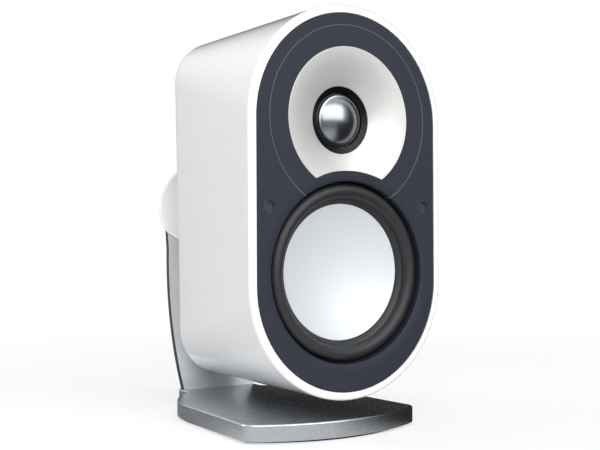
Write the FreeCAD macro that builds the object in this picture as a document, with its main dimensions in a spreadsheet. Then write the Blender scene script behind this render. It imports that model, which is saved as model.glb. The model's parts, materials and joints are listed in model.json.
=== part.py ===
import FreeCAD, Part

import math
import os
from types import SimpleNamespace

import Sketcher
from FreeCAD import Placement, Rotation, Vector

# A small two-way loudspeaker on a desk stand, in millimetres. +Z is up, the
# drivers face -Y, and the origin is the middle of the pad that it stands on.
# Depths inside the cabinet count backwards from the plane of its front.

SIZES = {
    # stand
    "pad_thick": 1.2,
    "pad_inset": 2.5,
    "base_thick": 8.8,
    "base_front_half": 53.2,
    "base_waist_half": 50.3,
    "base_bow": 18.7,
    "base_side": 66.0,
    "base_corner": 9.0,
    "base_edge": 0.8,
    "tongue_half": 25.2,
    "tongue_length": 18.8,
    "tongue_corner": 7.0,
    "upright_thick": 3.5,
    "upright_half": 16.5,
    "upright_lean": 38.3,
    "upright_taper": 85.0,
    "foot_half": 16.0,
    "foot_depth": 11.0,
    "foot_screw_apart": 20.0,
    "foot_screw_back": 4.1,
    "foot_screw_shank": 1.5,
    "foot_screw_bite": 5.5,
    "foot_screw_head": 2.9,
    "foot_screw_sink": 3.2,
    # cabinet
    "setback": 0.7,
    "under_gap": 9.4,
    "shell_width": 120.5,
    "shell_straight": 83.5,
    "shell_depth": 150.0,
    "back_width": 51.5,
    "back_lean": 1.9,
    "back_round": 12.0,
    "rim": 4.25,
    "rim_round": 1.6,
    "ledge": 2.0,
    "back_wall": 5.0,
    "side_wall": 5.0,
    "end_wall": 6.5,
    "baffle_thick": 7.2,
    "baffle_edge": 0.7,
    "seal_thick": 0.8,
    "fit_gap": 0.15,
    # woofer
    "woofer_lift": 5.65,
    "basket_margin": 2.0,
    "basket_lap": 4.8,
    "cove": 5.2,
    "cove_depth": 2.4,
    "cone_lap": 3.3,
    "cone_edge_depth": 8.2,
    "cone_dish": 10.5,
    "cone_thick": 0.8,
    "roll_width": 6.6,
    "roll_depth": 4.8,
    "roll_foot": 6.3,
    "rubber": 0.9,
    "land_gap": 0.6,
    "land_width": 1.2,
    "basket_flange": 2.4,
    "basket_wall": 2.2,
    "lip_lap": 3.0,
    "basket_seat": 31.0,
    "flange_reach": 6.0,
    "basket_heel": 32.2,
    "basket_web": 2.6,
    "basket_bore": 20.0,
    "basket_length": 28.0,
    "basket_window": 13.0,
    "window_near": 2.5,
    "window_far": 15.0,
    "coil_radius": 12.7,
    "former_wall": 0.4,
    "winding": 0.5,
    "winding_length": 8.0,
    "magnet_gap": 0.45,
    "glue_gap": 0.06,
    "motor_plate_radius": 33.0,
    "top_plate": 4.0,
    "magnet_radius": 34.5,
    "magnet_bore": 17.0,
    "magnet_thick": 14.0,
    "yoke_plate": 5.0,
    "pole_vent": 4.0,
    "shelf_width": 6.9,
    "spider_land": 3.0,
    "spider_folds": 6,
    "spider_shelf": 2.0,
    "shelf_depth": 26.5,
    "spider_thick": 0.6,
    "spider_neck": 1.2,
    "spider_wave": 1.2,
    "basket_screw_inset": 2.6,
    "basket_screw_shank": 1.4,
    "basket_screw_bite": 4.5,
    "basket_screw_head": 2.4,
    "basket_screw_cap": 1.6,
    # tweeter
    "tweeter_lift": 1.35,
    "waveguide_radius": 37.4,
    "waveguide_wall": 2.2,
    "flare_bulge": 1.5,
    "throat_radius": 17.7,
    "throat_depth": 8.6,
    "waveguide_flange": 3.6,
    "flange_depth": 3.6,
    "chassis_radius": 25.0,
    "bezel_inner": 14.3,
    "bezel_slope": 1.3,
    "dome_radius": 12.5,
    "dome_rise": 4.4,
    "dome_wall": 0.4,
    "dome_roll": 0.6,
    "dome_roll_width": 1.35,
    "dome_roll_base": 0.3,
    "tweeter_plate": 3.0,
    "tweeter_magnet": 5.0,
    "tweeter_back": 3.0,
    "tweeter_motor": 21.0,
    "tweeter_magnet_bore": 14.5,
    "tweeter_magnet_radius": 20.0,
    "tweeter_pole_sink": 0.6,
    "tweeter_coil_wall": 0.3,
    "tweeter_coil_length": 3.6,
    "tweeter_gap": 0.35,
    "tweeter_screw_circle": 23.0,
    "tweeter_screw_shank": 0.9,
    "tweeter_screw_head": 1.7,
    "tweeter_screw_cap": 1.1,
    "tweeter_screw_bite": 3.2,
    "sink_depth": 9.0,
    "sink_base": 2.0,
    "sink_slot": 3.0,
    "sink_pitch": 5.4,
    "seam_radius": 48.6,
    "seam_width": 0.5,
    "seam_depth": 0.35,
    # grille sockets
    "socket_inset": 7.4,
    "socket_drop": 2.2,
    "socket_radius": 2.9,
    "socket_wall": 0.7,
    "socket_depth": 2.2,
    # hub
    "hub_rise": 1.5,
    "boss_radius": 13.0,
    "boss_proud": 2.5,
    "boss_inside": 11.0,
    "bracket_plate": 3.0,
    "bracket_screw_apart": 17.0,
    "bracket_screw_shank": 1.5,
    "bracket_screw_head": 2.6,
    "bracket_screw_cap": 1.5,
    "insert_wall": 1.1,
    "insert_length": 8.0,
    "tilt_reach": 10.5,
    "lug_width": 8.0,
    "lug_radius": 5.6,
    "pin_radius": 3.0,
    "run_gap": 0.05,
    "side_gap": 0.3,
    "ear_thick": 4.0,
    "disc_radius": 24.0,
    "disc_thick": 5.0,
    "disc_round": 1.8,
    "disc_reach": 8.7,
    "washer_thick": 0.6,
    "washer_radius": 16.0,
    "spigot_radius": 5.0,
    "keeper_thick": 1.6,
    "keeper_radius": 10.0,
    "keeper_screw_head": 5.0,
    "keeper_screw_cap": 3.0,
    "keeper_screw_shank": 2.4,
    "keeper_screw_length": 8.0,
    "wave_washer": 1.0,
    "pin_head": 4.2,
    "pin_cap": 1.6,
    # terminals
    "terminal_rise": 51.5,
    "terminal_half": 14.2,
    "terminal_tall": 30.0,
    "terminal_flange": 2.0,
    "terminal_sunk": 0.5,
    "cup_half": 10.8,
    "cup_tall": 21.5,
    "cup_depth": 12.0,
    "cup_wall": 1.6,
    "post_apart": 19.0,
    "post_radius": 2.9,
    "post_bore": 2.0,
    "post_bore_depth": 13.0,
    "collar_radius": 6.0,
    "collar_thick": 2.0,
    "cap_radius": 6.0,
    "cap_length": 12.0,
    "clamp_thick": 1.5,
    "cap_roof": 1.4,
    "plug_mouth": 2.3,
    "post_short": 0.3,
    "flute_radius": 1.0,
    "flute_start": 2.0,
    "cap_edge": 0.6,
    "cup_edge": 0.5,
    "nut_thick": 2.2,
    "nut_radius": 4.4,
    "terminal_screw_apart": 52.0,
    "terminal_screw_shank": 1.2,
    "terminal_screw_head": 2.2,
    "terminal_screw_cap": 1.2,
    "terminal_screw_bite": 4.0,
    # crossover
    "board_half": 17.5,
    "board_tall": 32.0,
    "board_thick": 1.6,
    "column_out": 7.5,
    "column_rise": 23.0,
    "inductor_radius": 8.5,
    "inductor_bore": 3.5,
    "inductor_length": 11.0,
    "choke_radius": 7.5,
    "choke_bore": 3.0,
    "choke_length": 8.0,
    "capacitor_radius": 4.6,
    "capacitor_length": 24.0,
    "small_capacitor_radius": 4.5,
    "small_capacitor_length": 16.0,
    "resistor_side": 6.0,
    "resistor_length": 17.0,
    # wadding
    "wadding_half": 20.0,
    "wadding_tall": 62.0,
    "wadding_thick": 44.0,
    "wadding_drop": 44.0,
}


class Length:
    """A number together with the spreadsheet expression that it comes from."""

    def __init__(self, value, text):
        self.value = float(value)
        self.text = text

    def join(self, other, sign, result):
        return Length(result, f"({self.text} {sign} {as_length(other).text})")

    def __add__(self, other):
        return self.join(other, "+", self.value + as_length(other).value)

    def __radd__(self, other):
        return as_length(other) + self

    def __sub__(self, other):
        return self.join(other, "-", self.value - as_length(other).value)

    def __rsub__(self, other):
        return as_length(other) - self

    def __mul__(self, other):
        return self.join(other, "*", self.value * as_length(other).value)

    def __rmul__(self, other):
        return as_length(other) * self

    def __truediv__(self, other):
        return self.join(other, "/", self.value / as_length(other).value)

    def __neg__(self):
        return Length(-self.value, f"(0 - {self.text})")


def as_length(number):
    return number if isinstance(number, Length) else Length(number, repr(float(number)))


def root(length):
    return Length(math.sqrt(length.value), f"sqrt({length.text})")


def cosine(angle):
    return Length(math.cos(math.radians(angle.value)), f"cos({angle.text} * 1deg)")


def sine(angle):
    return Length(math.sin(math.radians(angle.value)), f"sin({angle.text} * 1deg)")


doc = FreeCAD.newDocument("desk_speaker")
sheet = doc.addObject("Spreadsheet::Sheet", "Sizes")
for row, (alias, number) in enumerate(SIZES.items(), 1):
    sheet.set(f"A{row}", alias)
    sheet.set(f"B{row}", str(number))
    sheet.setAlias(f"B{row}", alias)
doc.recompute()
mm = SimpleNamespace(**{alias: Length(number, f"Sizes.{alias}") for alias, number in SIZES.items()})
NOTHING = as_length(0.0)
parts = []
LEAST_CUT = 0.01

# Places that several pieces share.
boss_face = mm.shell_depth + mm.boss_proud
tilt_depth = boss_face + mm.tilt_reach
disc_front = tilt_depth + mm.disc_reach
disc_back = disc_front + mm.disc_thick
upright_front = disc_back + mm.washer_thick
base_length = mm.setback + upright_front - mm.upright_lean + mm.foot_depth
front = -base_length / 2 + mm.setback
base_top = mm.pad_thick + mm.base_thick
shell_height = mm.shell_width + mm.shell_straight
middle = base_top + mm.under_gap + shell_height / 2
woofer_drop = mm.shell_straight / 2 - mm.woofer_lift
tweeter_rise = mm.shell_straight / 2 + mm.tweeter_lift
woofer_height = middle - woofer_drop
tweeter_height = middle + tweeter_rise
hub_height = middle + mm.hub_rise
baffle_back = mm.baffle_thick + mm.seal_thick
pocket_half = mm.shell_width / 2 - mm.rim
pocket_tall = shell_height / 2 - mm.rim
socket_x = pocket_half - mm.socket_inset
basket_radius = pocket_half - mm.ledge - mm.basket_margin
woofer_hole = basket_radius - mm.basket_lap
cove_radius = woofer_hole + mm.cove


# ---------------------------------------------------------------- helpers

def bind(target, name, length):
    """Set a property and tie it to the sheet."""
    target.setExpression(name, length.text)


def place(target, x=NOTHING, y=NOTHING, z=NOTHING):
    target.Placement.Base = Vector(x.value, y.value, z.value)
    for axis, length in (("x", x), ("y", y), ("z", z)):
        if length is not NOTHING:
            bind(target, f"Placement.Base.{axis}", length)


def keep(shape_object, label):
    """List an object as one of the pieces that are written out."""
    shape_object.Label = label
    parts.append(shape_object)
    return shape_object


def new_body(label, x=NOTHING, y=NOTHING, z=NOTHING, several=False):
    body = doc.addObject("PartDesign::Body", label)
    body.AllowCompound = several
    place(body, x, y, z)
    return keep(body, label)


def plane_of(body, role):
    return next(item for item in body.Origin.OriginFeatures if item.Role == role)


def new_sketch(body, role, offset=NOTHING, lean=None):
    """A sketch on an origin plane, moved along its normal and leant back about X."""
    sketch = body.newObject("Sketcher::SketchObject", f"{body.Name}_sketch")
    sketch.AttachmentSupport = (plane_of(body, role), [""])
    sketch.MapMode = "FlatFace"
    angle = lean.value if lean else 0.0
    turn = Rotation(Vector(1, 0, 0), angle)
    sketch.AttachmentOffset = Placement(Vector(0, 0, offset.value), turn)
    if offset is not NOTHING:
        bind(sketch, "AttachmentOffset.Base.z", offset)
    if lean:
        bind(sketch, "AttachmentOffset.Rotation.Angle", lean)
    return sketch


def limit(sketch, kind, *where, length):
    """One dimension of a sketch, driven by the sheet."""
    index = sketch.addConstraint(Sketcher.Constraint(kind, *where, length.value))
    sketch.setExpression(f"Constraints[{index}]", length.text)


def pin_point(sketch, edge, end, point):
    """Fix an end of an edge at a place given by two lengths."""
    for kind, length, axis in (("DistanceX", point[0], -2), ("DistanceY", point[1], -1)):
        if length is NOTHING:
            sketch.addConstraint(Sketcher.Constraint("PointOnObject", edge, end, axis))
        else:
            limit(sketch, kind, edge, end, length=length)


def pin_centre(sketch, number, start, end):
    """Fix an arc's centre on its chord's bisector, so that the arc has its rise."""
    across, along, rise = end[0] - start[0], end[1] - start[1], start[2]
    chord = across * across + along * along
    off = (rise / 2 - chord / (8 * rise)) / root(chord)
    if abs(across.value) > abs(along.value):
        limit(sketch, "DistanceY", number, 3, length=(start[1] + end[1]) / 2 + across * off)
    else:
        limit(sketch, "DistanceX", number, 3, length=(start[0] + end[0]) / 2 - along * off)


def outline(sketch, points):
    """A closed outline. A point is (x, y), or (x, y, rise) where an arc leads on from it.

    The rise is how far that arc stands off its chord, to the left when positive.
    """
    flat = [Vector(point[0].value, point[1].value, 0) for point in points]
    ends = []
    for index, point in enumerate(points):
        start, end = flat[index], flat[(index + 1) % len(points)]
        edge = Part.LineSegment(start, end)
        if len(point) == 3:
            left = Vector(start.y - end.y, end.x - start.x, 0).normalize()
            edge = Part.Arc(start, (start + end) / 2 + left * point[2].value, end)
        number = sketch.addGeometry(edge)
        begins = sketch.getPoint(number, 1).isEqual(start, 1e-6)
        ends.append((number, 1, 2) if begins else (number, 2, 1))
    for index, point in enumerate(points):
        number, begin, finish = ends[index]
        following, following_begin, _ = ends[(index + 1) % len(points)]
        joined = Sketcher.Constraint("Coincident", number, finish, following, following_begin)
        sketch.addConstraint(joined)
        pin_point(sketch, number, begin, point)
        if len(point) == 3:
            pin_centre(sketch, number, point, points[(index + 1) % len(points)])
    return sketch


def disc(sketch, radius, x=NOTHING, y=NOTHING):
    """A circle in a sketch."""
    centre = Vector(x.value, y.value, 0)
    number = sketch.addGeometry(Part.Circle(centre, Vector(0, 0, 1), radius.value))
    pin_point(sketch, number, 3, (x, y))
    limit(sketch, "Radius", number, length=radius)
    return sketch


def stadium(sketch, half, tall, y=NOTHING):
    """A slot with round ends, half wide to each side and tall up and down from y."""
    straight = tall - half
    top, bottom = y + straight, y - straight
    return outline(sketch, [(half, bottom), (half, top, -half), (-half, top), (-half, bottom, -half)])


def feature(body, kind, sketch, length=None, turned=False, both=False):
    """A pad or a pocket. Turned makes it go the other way from the sketch's normal."""
    made = body.newObject(f"PartDesign::{kind}", f"{body.Name}_{kind}")
    made.Profile = sketch
    if length is None:
        made.Type = "ThroughAll"
    else:
        made.Length = length.value
        bind(made, "Length", length)
    made.Reversed = turned
    made.Midplane = both
    sketch.Visibility = False
    doc.recompute()
    return made


def cut(body, sketch, length=None, turned=False, both=False):
    """A pocket that has to take something away."""
    before = body.Shape.Volume
    made = feature(body, "Pocket", sketch, length, turned, both)
    if body.Shape.Volume > before - LEAST_CUT:
        raise RuntimeError(f"{body.Label}: {sketch.Label} cuts nothing")
    return made


def loft(body, kind, sketches):
    made = body.newObject(f"PartDesign::{kind}Loft", f"{body.Name}_{kind}Loft")
    made.Profile = sketches[0]
    made.Sections = sketches[1:]
    made.Ruled = True
    doc.recompute()
    return made


def spun(label, height, points, y=front):
    """A piece turned about the line that runs back through a driver's middle.

    Each point is (depth, radius), or has a rise where an arc leads on from it.
    """
    body = new_body(label, y=y, z=height)
    sketch = outline(new_sketch(body, "YZ_Plane"), points)
    turn = body.newObject("PartDesign::Revolution", f"{label}_turned")
    turn.Profile = sketch
    turn.ReferenceAxis = (sketch, ["H_Axis"])
    turn.Angle = 360
    doc.recompute()
    return body


def ring(label, height, inner, outer, near, far, y=front):
    """A plain ring or disc between two depths."""
    return spun(label, height, [(near, inner), (far, inner), (far, outer), (near, outer)], y)


def rod(name, radius, length, x, y, z, axis):
    """A Part cylinder whose base is at x, y, z and which runs along the axis."""
    made = doc.addObject("Part::Cylinder", name)
    made.Radius, made.Height = radius.value, length.value
    bind(made, "Radius", radius)
    bind(made, "Height", length)
    made.Placement.Rotation = Rotation(Vector(0, 0, 1), axis)
    place(made, x, y, z)
    return made


def hexagon(name, radius, length, x, y, z, axis):
    """A Part prism with six sides, radius being measured to a corner."""
    made = doc.addObject("Part::Prism", name)
    made.Polygon = 6
    made.Circumradius, made.Height = radius.value, length.value
    bind(made, "Circumradius", radius)
    bind(made, "Height", length)
    made.Placement.Rotation = Rotation(Vector(0, 0, 1), axis)
    place(made, x, y, z)
    return made


def block(name, x, y, z, wide, deep, tall):
    """A Part box from its lowest corner."""
    made = doc.addObject("Part::Box", name)
    for side, length in (("Length", wide), ("Width", deep), ("Height", tall)):
        setattr(made, side, length.value)
        bind(made, side, length)
    place(made, x, y, z)
    return made


def joined(label, kind, members):
    made = doc.addObject(f"Part::{kind}", label)
    if kind == "MultiFuse":
        made.Shapes = members
    else:
        made.Links = members
    return made


def subtract(name, base, tool):
    made = doc.addObject("Part::Cut", name)
    made.Base, made.Tool = base, tool
    return made


def screws(label, places, shank, grip, head, cap, into):
    """Headed screws as a group. Each place is the underside of a head."""
    group = []
    back = -into
    for number, (x, y, z) in enumerate(places):
        body = rod(f"{label}_shank_{number}", shank, grip, x, y, z, into)
        top = rod(f"{label}_head_{number}", head, cap, x, y, z, back)
        group.append(joined(f"{label}_{number}", "MultiFuse", [body, top]))
    return keep(joined(label, "Compound", group), label)


# ---------------------------------------------------------------- choosing edges

def edges_where(shape, test, along=None):
    """Names of the edges whose every end passes a test, and which run along a direction."""
    names = []
    for number, edge in enumerate(shape.Edges, 1):
        ends = [vertex.Point for vertex in edge.Vertexes]
        if not all(test(end) for end in ends):
            continue
        if along is None or (ends[-1] - ends[0]).cross(along).Length < 1e-3:
            names.append(f"Edge{number}")
    return names


def dress(body, kind, test, length, along=None):
    """Fillet or chamfer the edges of the body's tip that pass a test."""
    base = body.Tip
    made = body.newObject(f"PartDesign::{kind}", f"{body.Name}_{kind}")
    made.Base = (base, edges_where(base.Shape, test, along))
    side = "Radius" if kind == "Fillet" else "Size"
    setattr(made, side, length.value)
    bind(made, side, length)
    doc.recompute()
    return made


def near(number, length, slack=0.01):
    return abs(number - length.value) < slack


# ---------------------------------------------------------------- stand

upright_y = front + upright_front
foot_front = upright_y - mm.upright_lean
foot_back = base_length / 2
foot_screw_y = foot_back - mm.foot_screw_back
foot_screw_x = mm.foot_screw_apart / 2
upright_foot = mm.tongue_half - mm.base_edge


def base_outline(sketch, inset):
    """Bowed front, straight sides, wide round haunches and a tongue under the upright."""
    fore = -base_length / 2 + mm.base_bow + inset
    aft = base_length / 2 - inset
    waist = fore + mm.base_side
    shoulder = aft - mm.tongue_length
    wide, narrow, tongue = mm.base_front_half - inset, mm.base_waist_half - inset, mm.tongue_half - inset
    across, along = narrow - tongue, shoulder - waist
    chord = across * across + along * along
    haunch = chord / (2 * across)
    bulge = haunch - root(haunch * haunch - chord / 4)
    right = [(tongue, aft), (tongue, shoulder, bulge), (narrow, waist), (wide, fore, mm.base_bow)]
    left = [(-wide, fore), (-narrow, waist, bulge), (-tongue, shoulder), (-tongue, aft)]
    return outline(sketch, right + left)


def make_base():
    body = new_body("base_plate", z=mm.pad_thick)
    feature(body, "Pad", base_outline(new_sketch(body, "XY_Plane"), NOTHING), mm.base_thick)
    fore = -base_length / 2 + mm.base_bow
    dress(body, "Fillet", lambda end: near(end.y, fore), mm.base_corner, Vector(0, 0, 1))
    dress(body, "Fillet", lambda end: near(end.y, foot_back), mm.tongue_corner, Vector(0, 0, 1))
    dress(body, "Chamfer", lambda end: near(end.z, mm.base_thick), mm.base_edge)
    for x in (-foot_screw_x, foot_screw_x):
        shank = disc(new_sketch(body, "XY_Plane"), mm.foot_screw_shank + mm.run_gap, x, foot_screw_y)
        cut(body, shank, turned=True)
        head = disc(new_sketch(body, "XY_Plane"), mm.foot_screw_head + mm.fit_gap, x, foot_screw_y)
        cut(body, head, mm.foot_screw_sink, turned=True)
    pad = new_body("base_pad")
    feature(pad, "Pad", base_outline(new_sketch(pad, "XY_Plane"), mm.pad_inset), mm.pad_thick)


def make_upright():
    """A plate on one long arc, upright at the hub and leaning at the base, on a narrow foot."""
    body = new_body("upright")
    rise = hub_height - base_top
    arc = (mm.upright_lean * mm.upright_lean + rise * rise) / (2 * mm.upright_lean)
    sweep = mm.upright_lean * mm.upright_lean + rise * rise
    bow = arc - root(arc * arc - sweep / 4)
    outer = arc + mm.upright_thick
    centre = upright_y - arc
    upright_back = upright_y + mm.upright_thick
    plate_back = centre + root(outer * outer - rise * rise)
    over = upright_back - plate_back
    plate_chord = over * over + rise * rise
    plate_bow = outer - root(outer * outer - plate_chord / 4)
    top = hub_height + mm.upright_half
    plate = outline(new_sketch(body, "YZ_Plane"), [
        (foot_front, base_top, -bow),
        (upright_y, hub_height),
        (upright_y, top),
        (upright_back, top),
        (upright_back, hub_height, plate_bow),
        (plate_back, base_top),
    ])
    feature(body, "Pad", plate, 2 * upright_foot, both=True)
    reach = foot_back - centre
    fall = root(outer * outer - reach * reach)
    foot = outline(new_sketch(body, "YZ_Plane"), [
        (plate_back - mm.upright_thick / 2, base_top),
        (foot_back, hub_height - fall),
        (foot_back, base_top),
    ])
    feature(body, "Pad", foot, 2 * mm.foot_half, both=True)
    face = new_sketch(body, "XZ_Plane")
    waist = base_top + mm.upright_taper
    half, foot = mm.upright_half, upright_foot
    outline(face, [(foot, base_top), (half, waist), (half, hub_height, -half), (-half, hub_height),
                   (-half, waist), (-foot, base_top)])
    spare = foot + half
    outline(face, [(spare, NOTHING), (spare, top + half), (-spare, top + half), (-spare, NOTHING)])
    cut(body, face, both=True)
    land = disc(new_sketch(body, "XZ_Plane", -upright_y), mm.disc_radius + mm.side_gap, NOTHING, hub_height)
    cut(body, land, mm.upright_lean, turned=True)
    bore = disc(new_sketch(body, "XZ_Plane"), mm.spigot_radius + mm.run_gap, NOTHING, hub_height)
    cut(body, bore, both=True)
    for x in (-foot_screw_x, foot_screw_x):
        thread = new_sketch(body, "XY_Plane", base_top)
        disc(thread, mm.foot_screw_shank + mm.run_gap, x, foot_screw_y)
        cut(body, thread, mm.foot_screw_bite + mm.fit_gap, turned=True)


def make_foot_screws():
    under_head = mm.pad_thick + mm.foot_screw_sink
    grip = base_top + mm.foot_screw_bite - under_head
    places = [(x, foot_screw_y, under_head) for x in (-foot_screw_x, foot_screw_x)]
    cap = mm.foot_screw_sink - mm.fit_gap
    screws("foot_screws", places, mm.foot_screw_shank, grip, mm.foot_screw_head, cap, Vector(0, 0, 1))


make_base()
make_upright()
make_foot_screws()


# ---------------------------------------------------------------- hub

spigot_end = upright_front + mm.upright_thick + mm.wave_washer
lug_half = mm.lug_width / 2
ear_near = lug_half + mm.side_gap
ear_far = ear_near + mm.ear_thick
hub_y = front + tilt_depth


def tab(sketch, flat, axis, radius):
    """A tab with a round end about the axis, standing on a flat face behind or before it."""
    way = radius if flat.value > axis.value else -radius
    return outline(sketch, [(flat, -way), (flat, way), (axis, way, -radius), (axis, -way)])


def make_swivel():
    """The round hub plate, its two ears and the spigot that turns in the upright."""
    body = new_body("swivel_disc", y=front, z=hub_height)
    plate = disc(new_sketch(body, "XZ_Plane", -disc_front), mm.disc_radius)
    feature(body, "Pad", plate, mm.disc_thick, turned=True)
    dress(body, "Fillet", lambda end: near(end.y, disc_front), mm.disc_round)
    for offset, turned in ((ear_near, False), (-ear_near, True)):
        ear = tab(new_sketch(body, "YZ_Plane", offset), disc_front + mm.disc_round, tilt_depth, mm.lug_radius)
        feature(body, "Pad", ear, mm.ear_thick, turned=turned)
    eye = disc(new_sketch(body, "YZ_Plane"), mm.pin_radius + mm.run_gap, tilt_depth)
    cut(body, eye, both=True)
    spigot = disc(new_sketch(body, "XZ_Plane", -disc_back), mm.spigot_radius)
    feature(body, "Pad", spigot, spigot_end - disc_back, turned=True)
    thread = disc(new_sketch(body, "XZ_Plane", -spigot_end), mm.keeper_screw_shank + mm.run_gap)
    cut(body, thread, mm.keeper_screw_length + mm.fit_gap, turned=True)


def make_hub_hardware():
    bore = mm.spigot_radius + mm.fit_gap
    ring("friction_washer", hub_height, bore, mm.washer_radius, disc_back, upright_front)
    ring("wave_washer", hub_height, bore, mm.keeper_radius, spigot_end - mm.wave_washer, spigot_end)
    keeper_back = spigot_end + mm.keeper_thick
    clear = mm.keeper_screw_shank + mm.fit_gap
    ring("keeper_washer", hub_height, clear, mm.keeper_radius, spigot_end, keeper_back)
    seat = front + keeper_back
    grip = mm.keeper_screw_length + mm.keeper_thick
    screws("keeper_screw", [(NOTHING, seat, hub_height)], mm.keeper_screw_shank, grip,
           mm.keeper_screw_head, mm.keeper_screw_cap, Vector(0, -1, 0))
    width = 2 * ear_far
    screws("tilt_pin", [(-ear_far, hub_y, hub_height)], mm.pin_radius, width, mm.pin_head, mm.pin_cap,
           Vector(1, 0, 0))
    nut = rod("pin_cap_outer", mm.pin_head, mm.pin_cap, ear_far, hub_y, hub_height, Vector(1, 0, 0))
    keep(nut, "pin_cap")


def make_bracket():
    body = new_body("cabinet_bracket", y=front, z=hub_height)
    plate = disc(new_sketch(body, "XZ_Plane", -boss_face), mm.boss_radius)
    feature(body, "Pad", plate, mm.bracket_plate, turned=True)
    lug = tab(new_sketch(body, "YZ_Plane"), boss_face + mm.bracket_plate / 2, tilt_depth, mm.lug_radius)
    feature(body, "Pad", lug, mm.lug_width, both=True)
    eye = disc(new_sketch(body, "YZ_Plane"), mm.pin_radius + mm.run_gap, tilt_depth)
    cut(body, eye, both=True)
    half = mm.bracket_screw_apart / 2
    for rise in (-half, half):
        hole = disc(new_sketch(body, "XZ_Plane"), mm.bracket_screw_shank + mm.run_gap, NOTHING, rise)
        cut(body, hole, both=True)
    places = [(NOTHING, front + boss_face + mm.bracket_plate, hub_height + rise) for rise in (-half, half)]
    screws("bracket_screws", places, mm.bracket_screw_shank, mm.bracket_plate + mm.insert_length,
           mm.bracket_screw_head, mm.bracket_screw_cap, Vector(0, -1, 0))
    tubes = []
    for rise in (-half, half):
        place_of = (NOTHING, front + boss_face - mm.insert_length, hub_height + rise, Vector(0, 1, 0))
        outer = rod("insert_outer", mm.bracket_screw_shank + mm.insert_wall, mm.insert_length, *place_of)
        inner = rod("insert_inner", mm.bracket_screw_shank + mm.run_gap, mm.insert_length, *place_of)
        tubes.append(subtract("insert", outer, inner))
    keep(joined("bracket_inserts", "Compound", tubes), "bracket_inserts")


make_swivel()
make_hub_hardware()
make_bracket()


# ---------------------------------------------------------------- cabinet

round_steps = 5
rim_steps = 3
terminal_back = mm.shell_depth - mm.terminal_sunk


def shell_section(body, depth, inset):
    """The cabinet's cross-section at a depth: it narrows and leans back evenly."""
    share = depth / mm.shell_depth
    half = mm.shell_width / 2 - (mm.shell_width - mm.back_width) / 2 * share - inset
    sketch = new_sketch(body, "XZ_Plane", -depth, -mm.back_lean * share)
    return stadium(sketch, half, shell_height / 2 - inset)


def quarter(radius, step, steps):
    """Depth from the tangent end, and inset, of a quarter round."""
    angle = Length(90.0 * step / steps, repr(90.0 * step / steps))
    return radius * sine(angle), radius * (1 - cosine(angle))


def make_shell():
    body = new_body("cabinet_shell", y=front, z=middle)
    sections = []
    for step in range(rim_steps, 0, -1):
        ahead, inset = quarter(mm.rim_round, step, rim_steps)
        sections.append(shell_section(body, mm.rim_round - ahead, inset))
    sections.append(shell_section(body, mm.rim_round, NOTHING))
    straight_end = mm.shell_depth - mm.back_round
    sections.append(shell_section(body, straight_end, NOTHING))
    for step in range(1, round_steps + 1):
        behind, inset = quarter(mm.back_round, step, round_steps)
        sections.append(shell_section(body, straight_end + behind, inset))
    loft(body, "Additive", sections)
    pocket = stadium(new_sketch(body, "XZ_Plane"), pocket_half, pocket_tall)
    cut(body, pocket, baffle_back)
    mouth = new_sketch(body, "XZ_Plane", -baffle_back)
    stadium(mouth, pocket_half - mm.ledge, pocket_tall - mm.ledge)
    inner_depth = mm.shell_depth - mm.back_wall
    inner_back = new_sketch(body, "XZ_Plane", -inner_depth, -mm.back_lean)
    stadium(inner_back, mm.back_width / 2 - mm.side_wall, shell_height / 2 - mm.end_wall)
    loft(body, "Subtractive", [mouth, inner_back])
    boss_start = inner_depth - mm.boss_inside
    boss = disc(new_sketch(body, "XZ_Plane", -boss_start), mm.boss_radius, NOTHING, mm.hub_rise)
    feature(body, "Pad", boss, boss_face - boss_start, turned=True)
    half = mm.bracket_screw_apart / 2
    for rise in (-half, half):
        seat = new_sketch(body, "XZ_Plane", -boss_face)
        disc(seat, mm.bracket_screw_shank + mm.insert_wall + mm.run_gap, NOTHING, mm.hub_rise + rise)
        cut(body, seat, mm.insert_length + mm.fit_gap, turned=True)
    flat = new_sketch(body, "XZ_Plane", -terminal_back)
    stadium(flat, mm.terminal_half + mm.fit_gap, mm.terminal_tall + mm.fit_gap, mm.terminal_rise)
    cut(body, flat, mm.back_round)
    opening = new_sketch(body, "XZ_Plane", -terminal_back)
    around = mm.cup_wall + mm.fit_gap
    stadium(opening, mm.cup_half + around, mm.cup_tall + around, mm.terminal_rise)
    cut(body, opening, mm.back_wall + mm.back_round, turned=True)
    for rise in (-mm.terminal_screw_apart / 2, mm.terminal_screw_apart / 2):
        hole = new_sketch(body, "XZ_Plane", -terminal_back)
        disc(hole, mm.terminal_screw_shank + mm.run_gap, NOTHING, mm.terminal_rise + rise)
        cut(body, hole, mm.terminal_screw_bite + mm.fit_gap, turned=True)


def lune(sketch, radius, ring_radius, apart):
    """The part of a circle that lies outside a ring below it."""
    level = (apart * apart + ring_radius * ring_radius - radius * radius) / (2 * apart)
    half = root(ring_radius * ring_radius - level * level)
    over = apart + radius - level
    return outline(sketch, [(half, level, -over), (-half, level, ring_radius - level)])


drivers_apart = woofer_drop + tweeter_rise
screw_circle = basket_radius - mm.basket_screw_inset
screw_turns = (45, 135, 225, 315)


def around(radius, degrees):
    """A place on a circle, as two lengths."""
    angle = Length(degrees, repr(float(degrees)))
    return radius * cosine(angle), radius * sine(angle)


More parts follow.
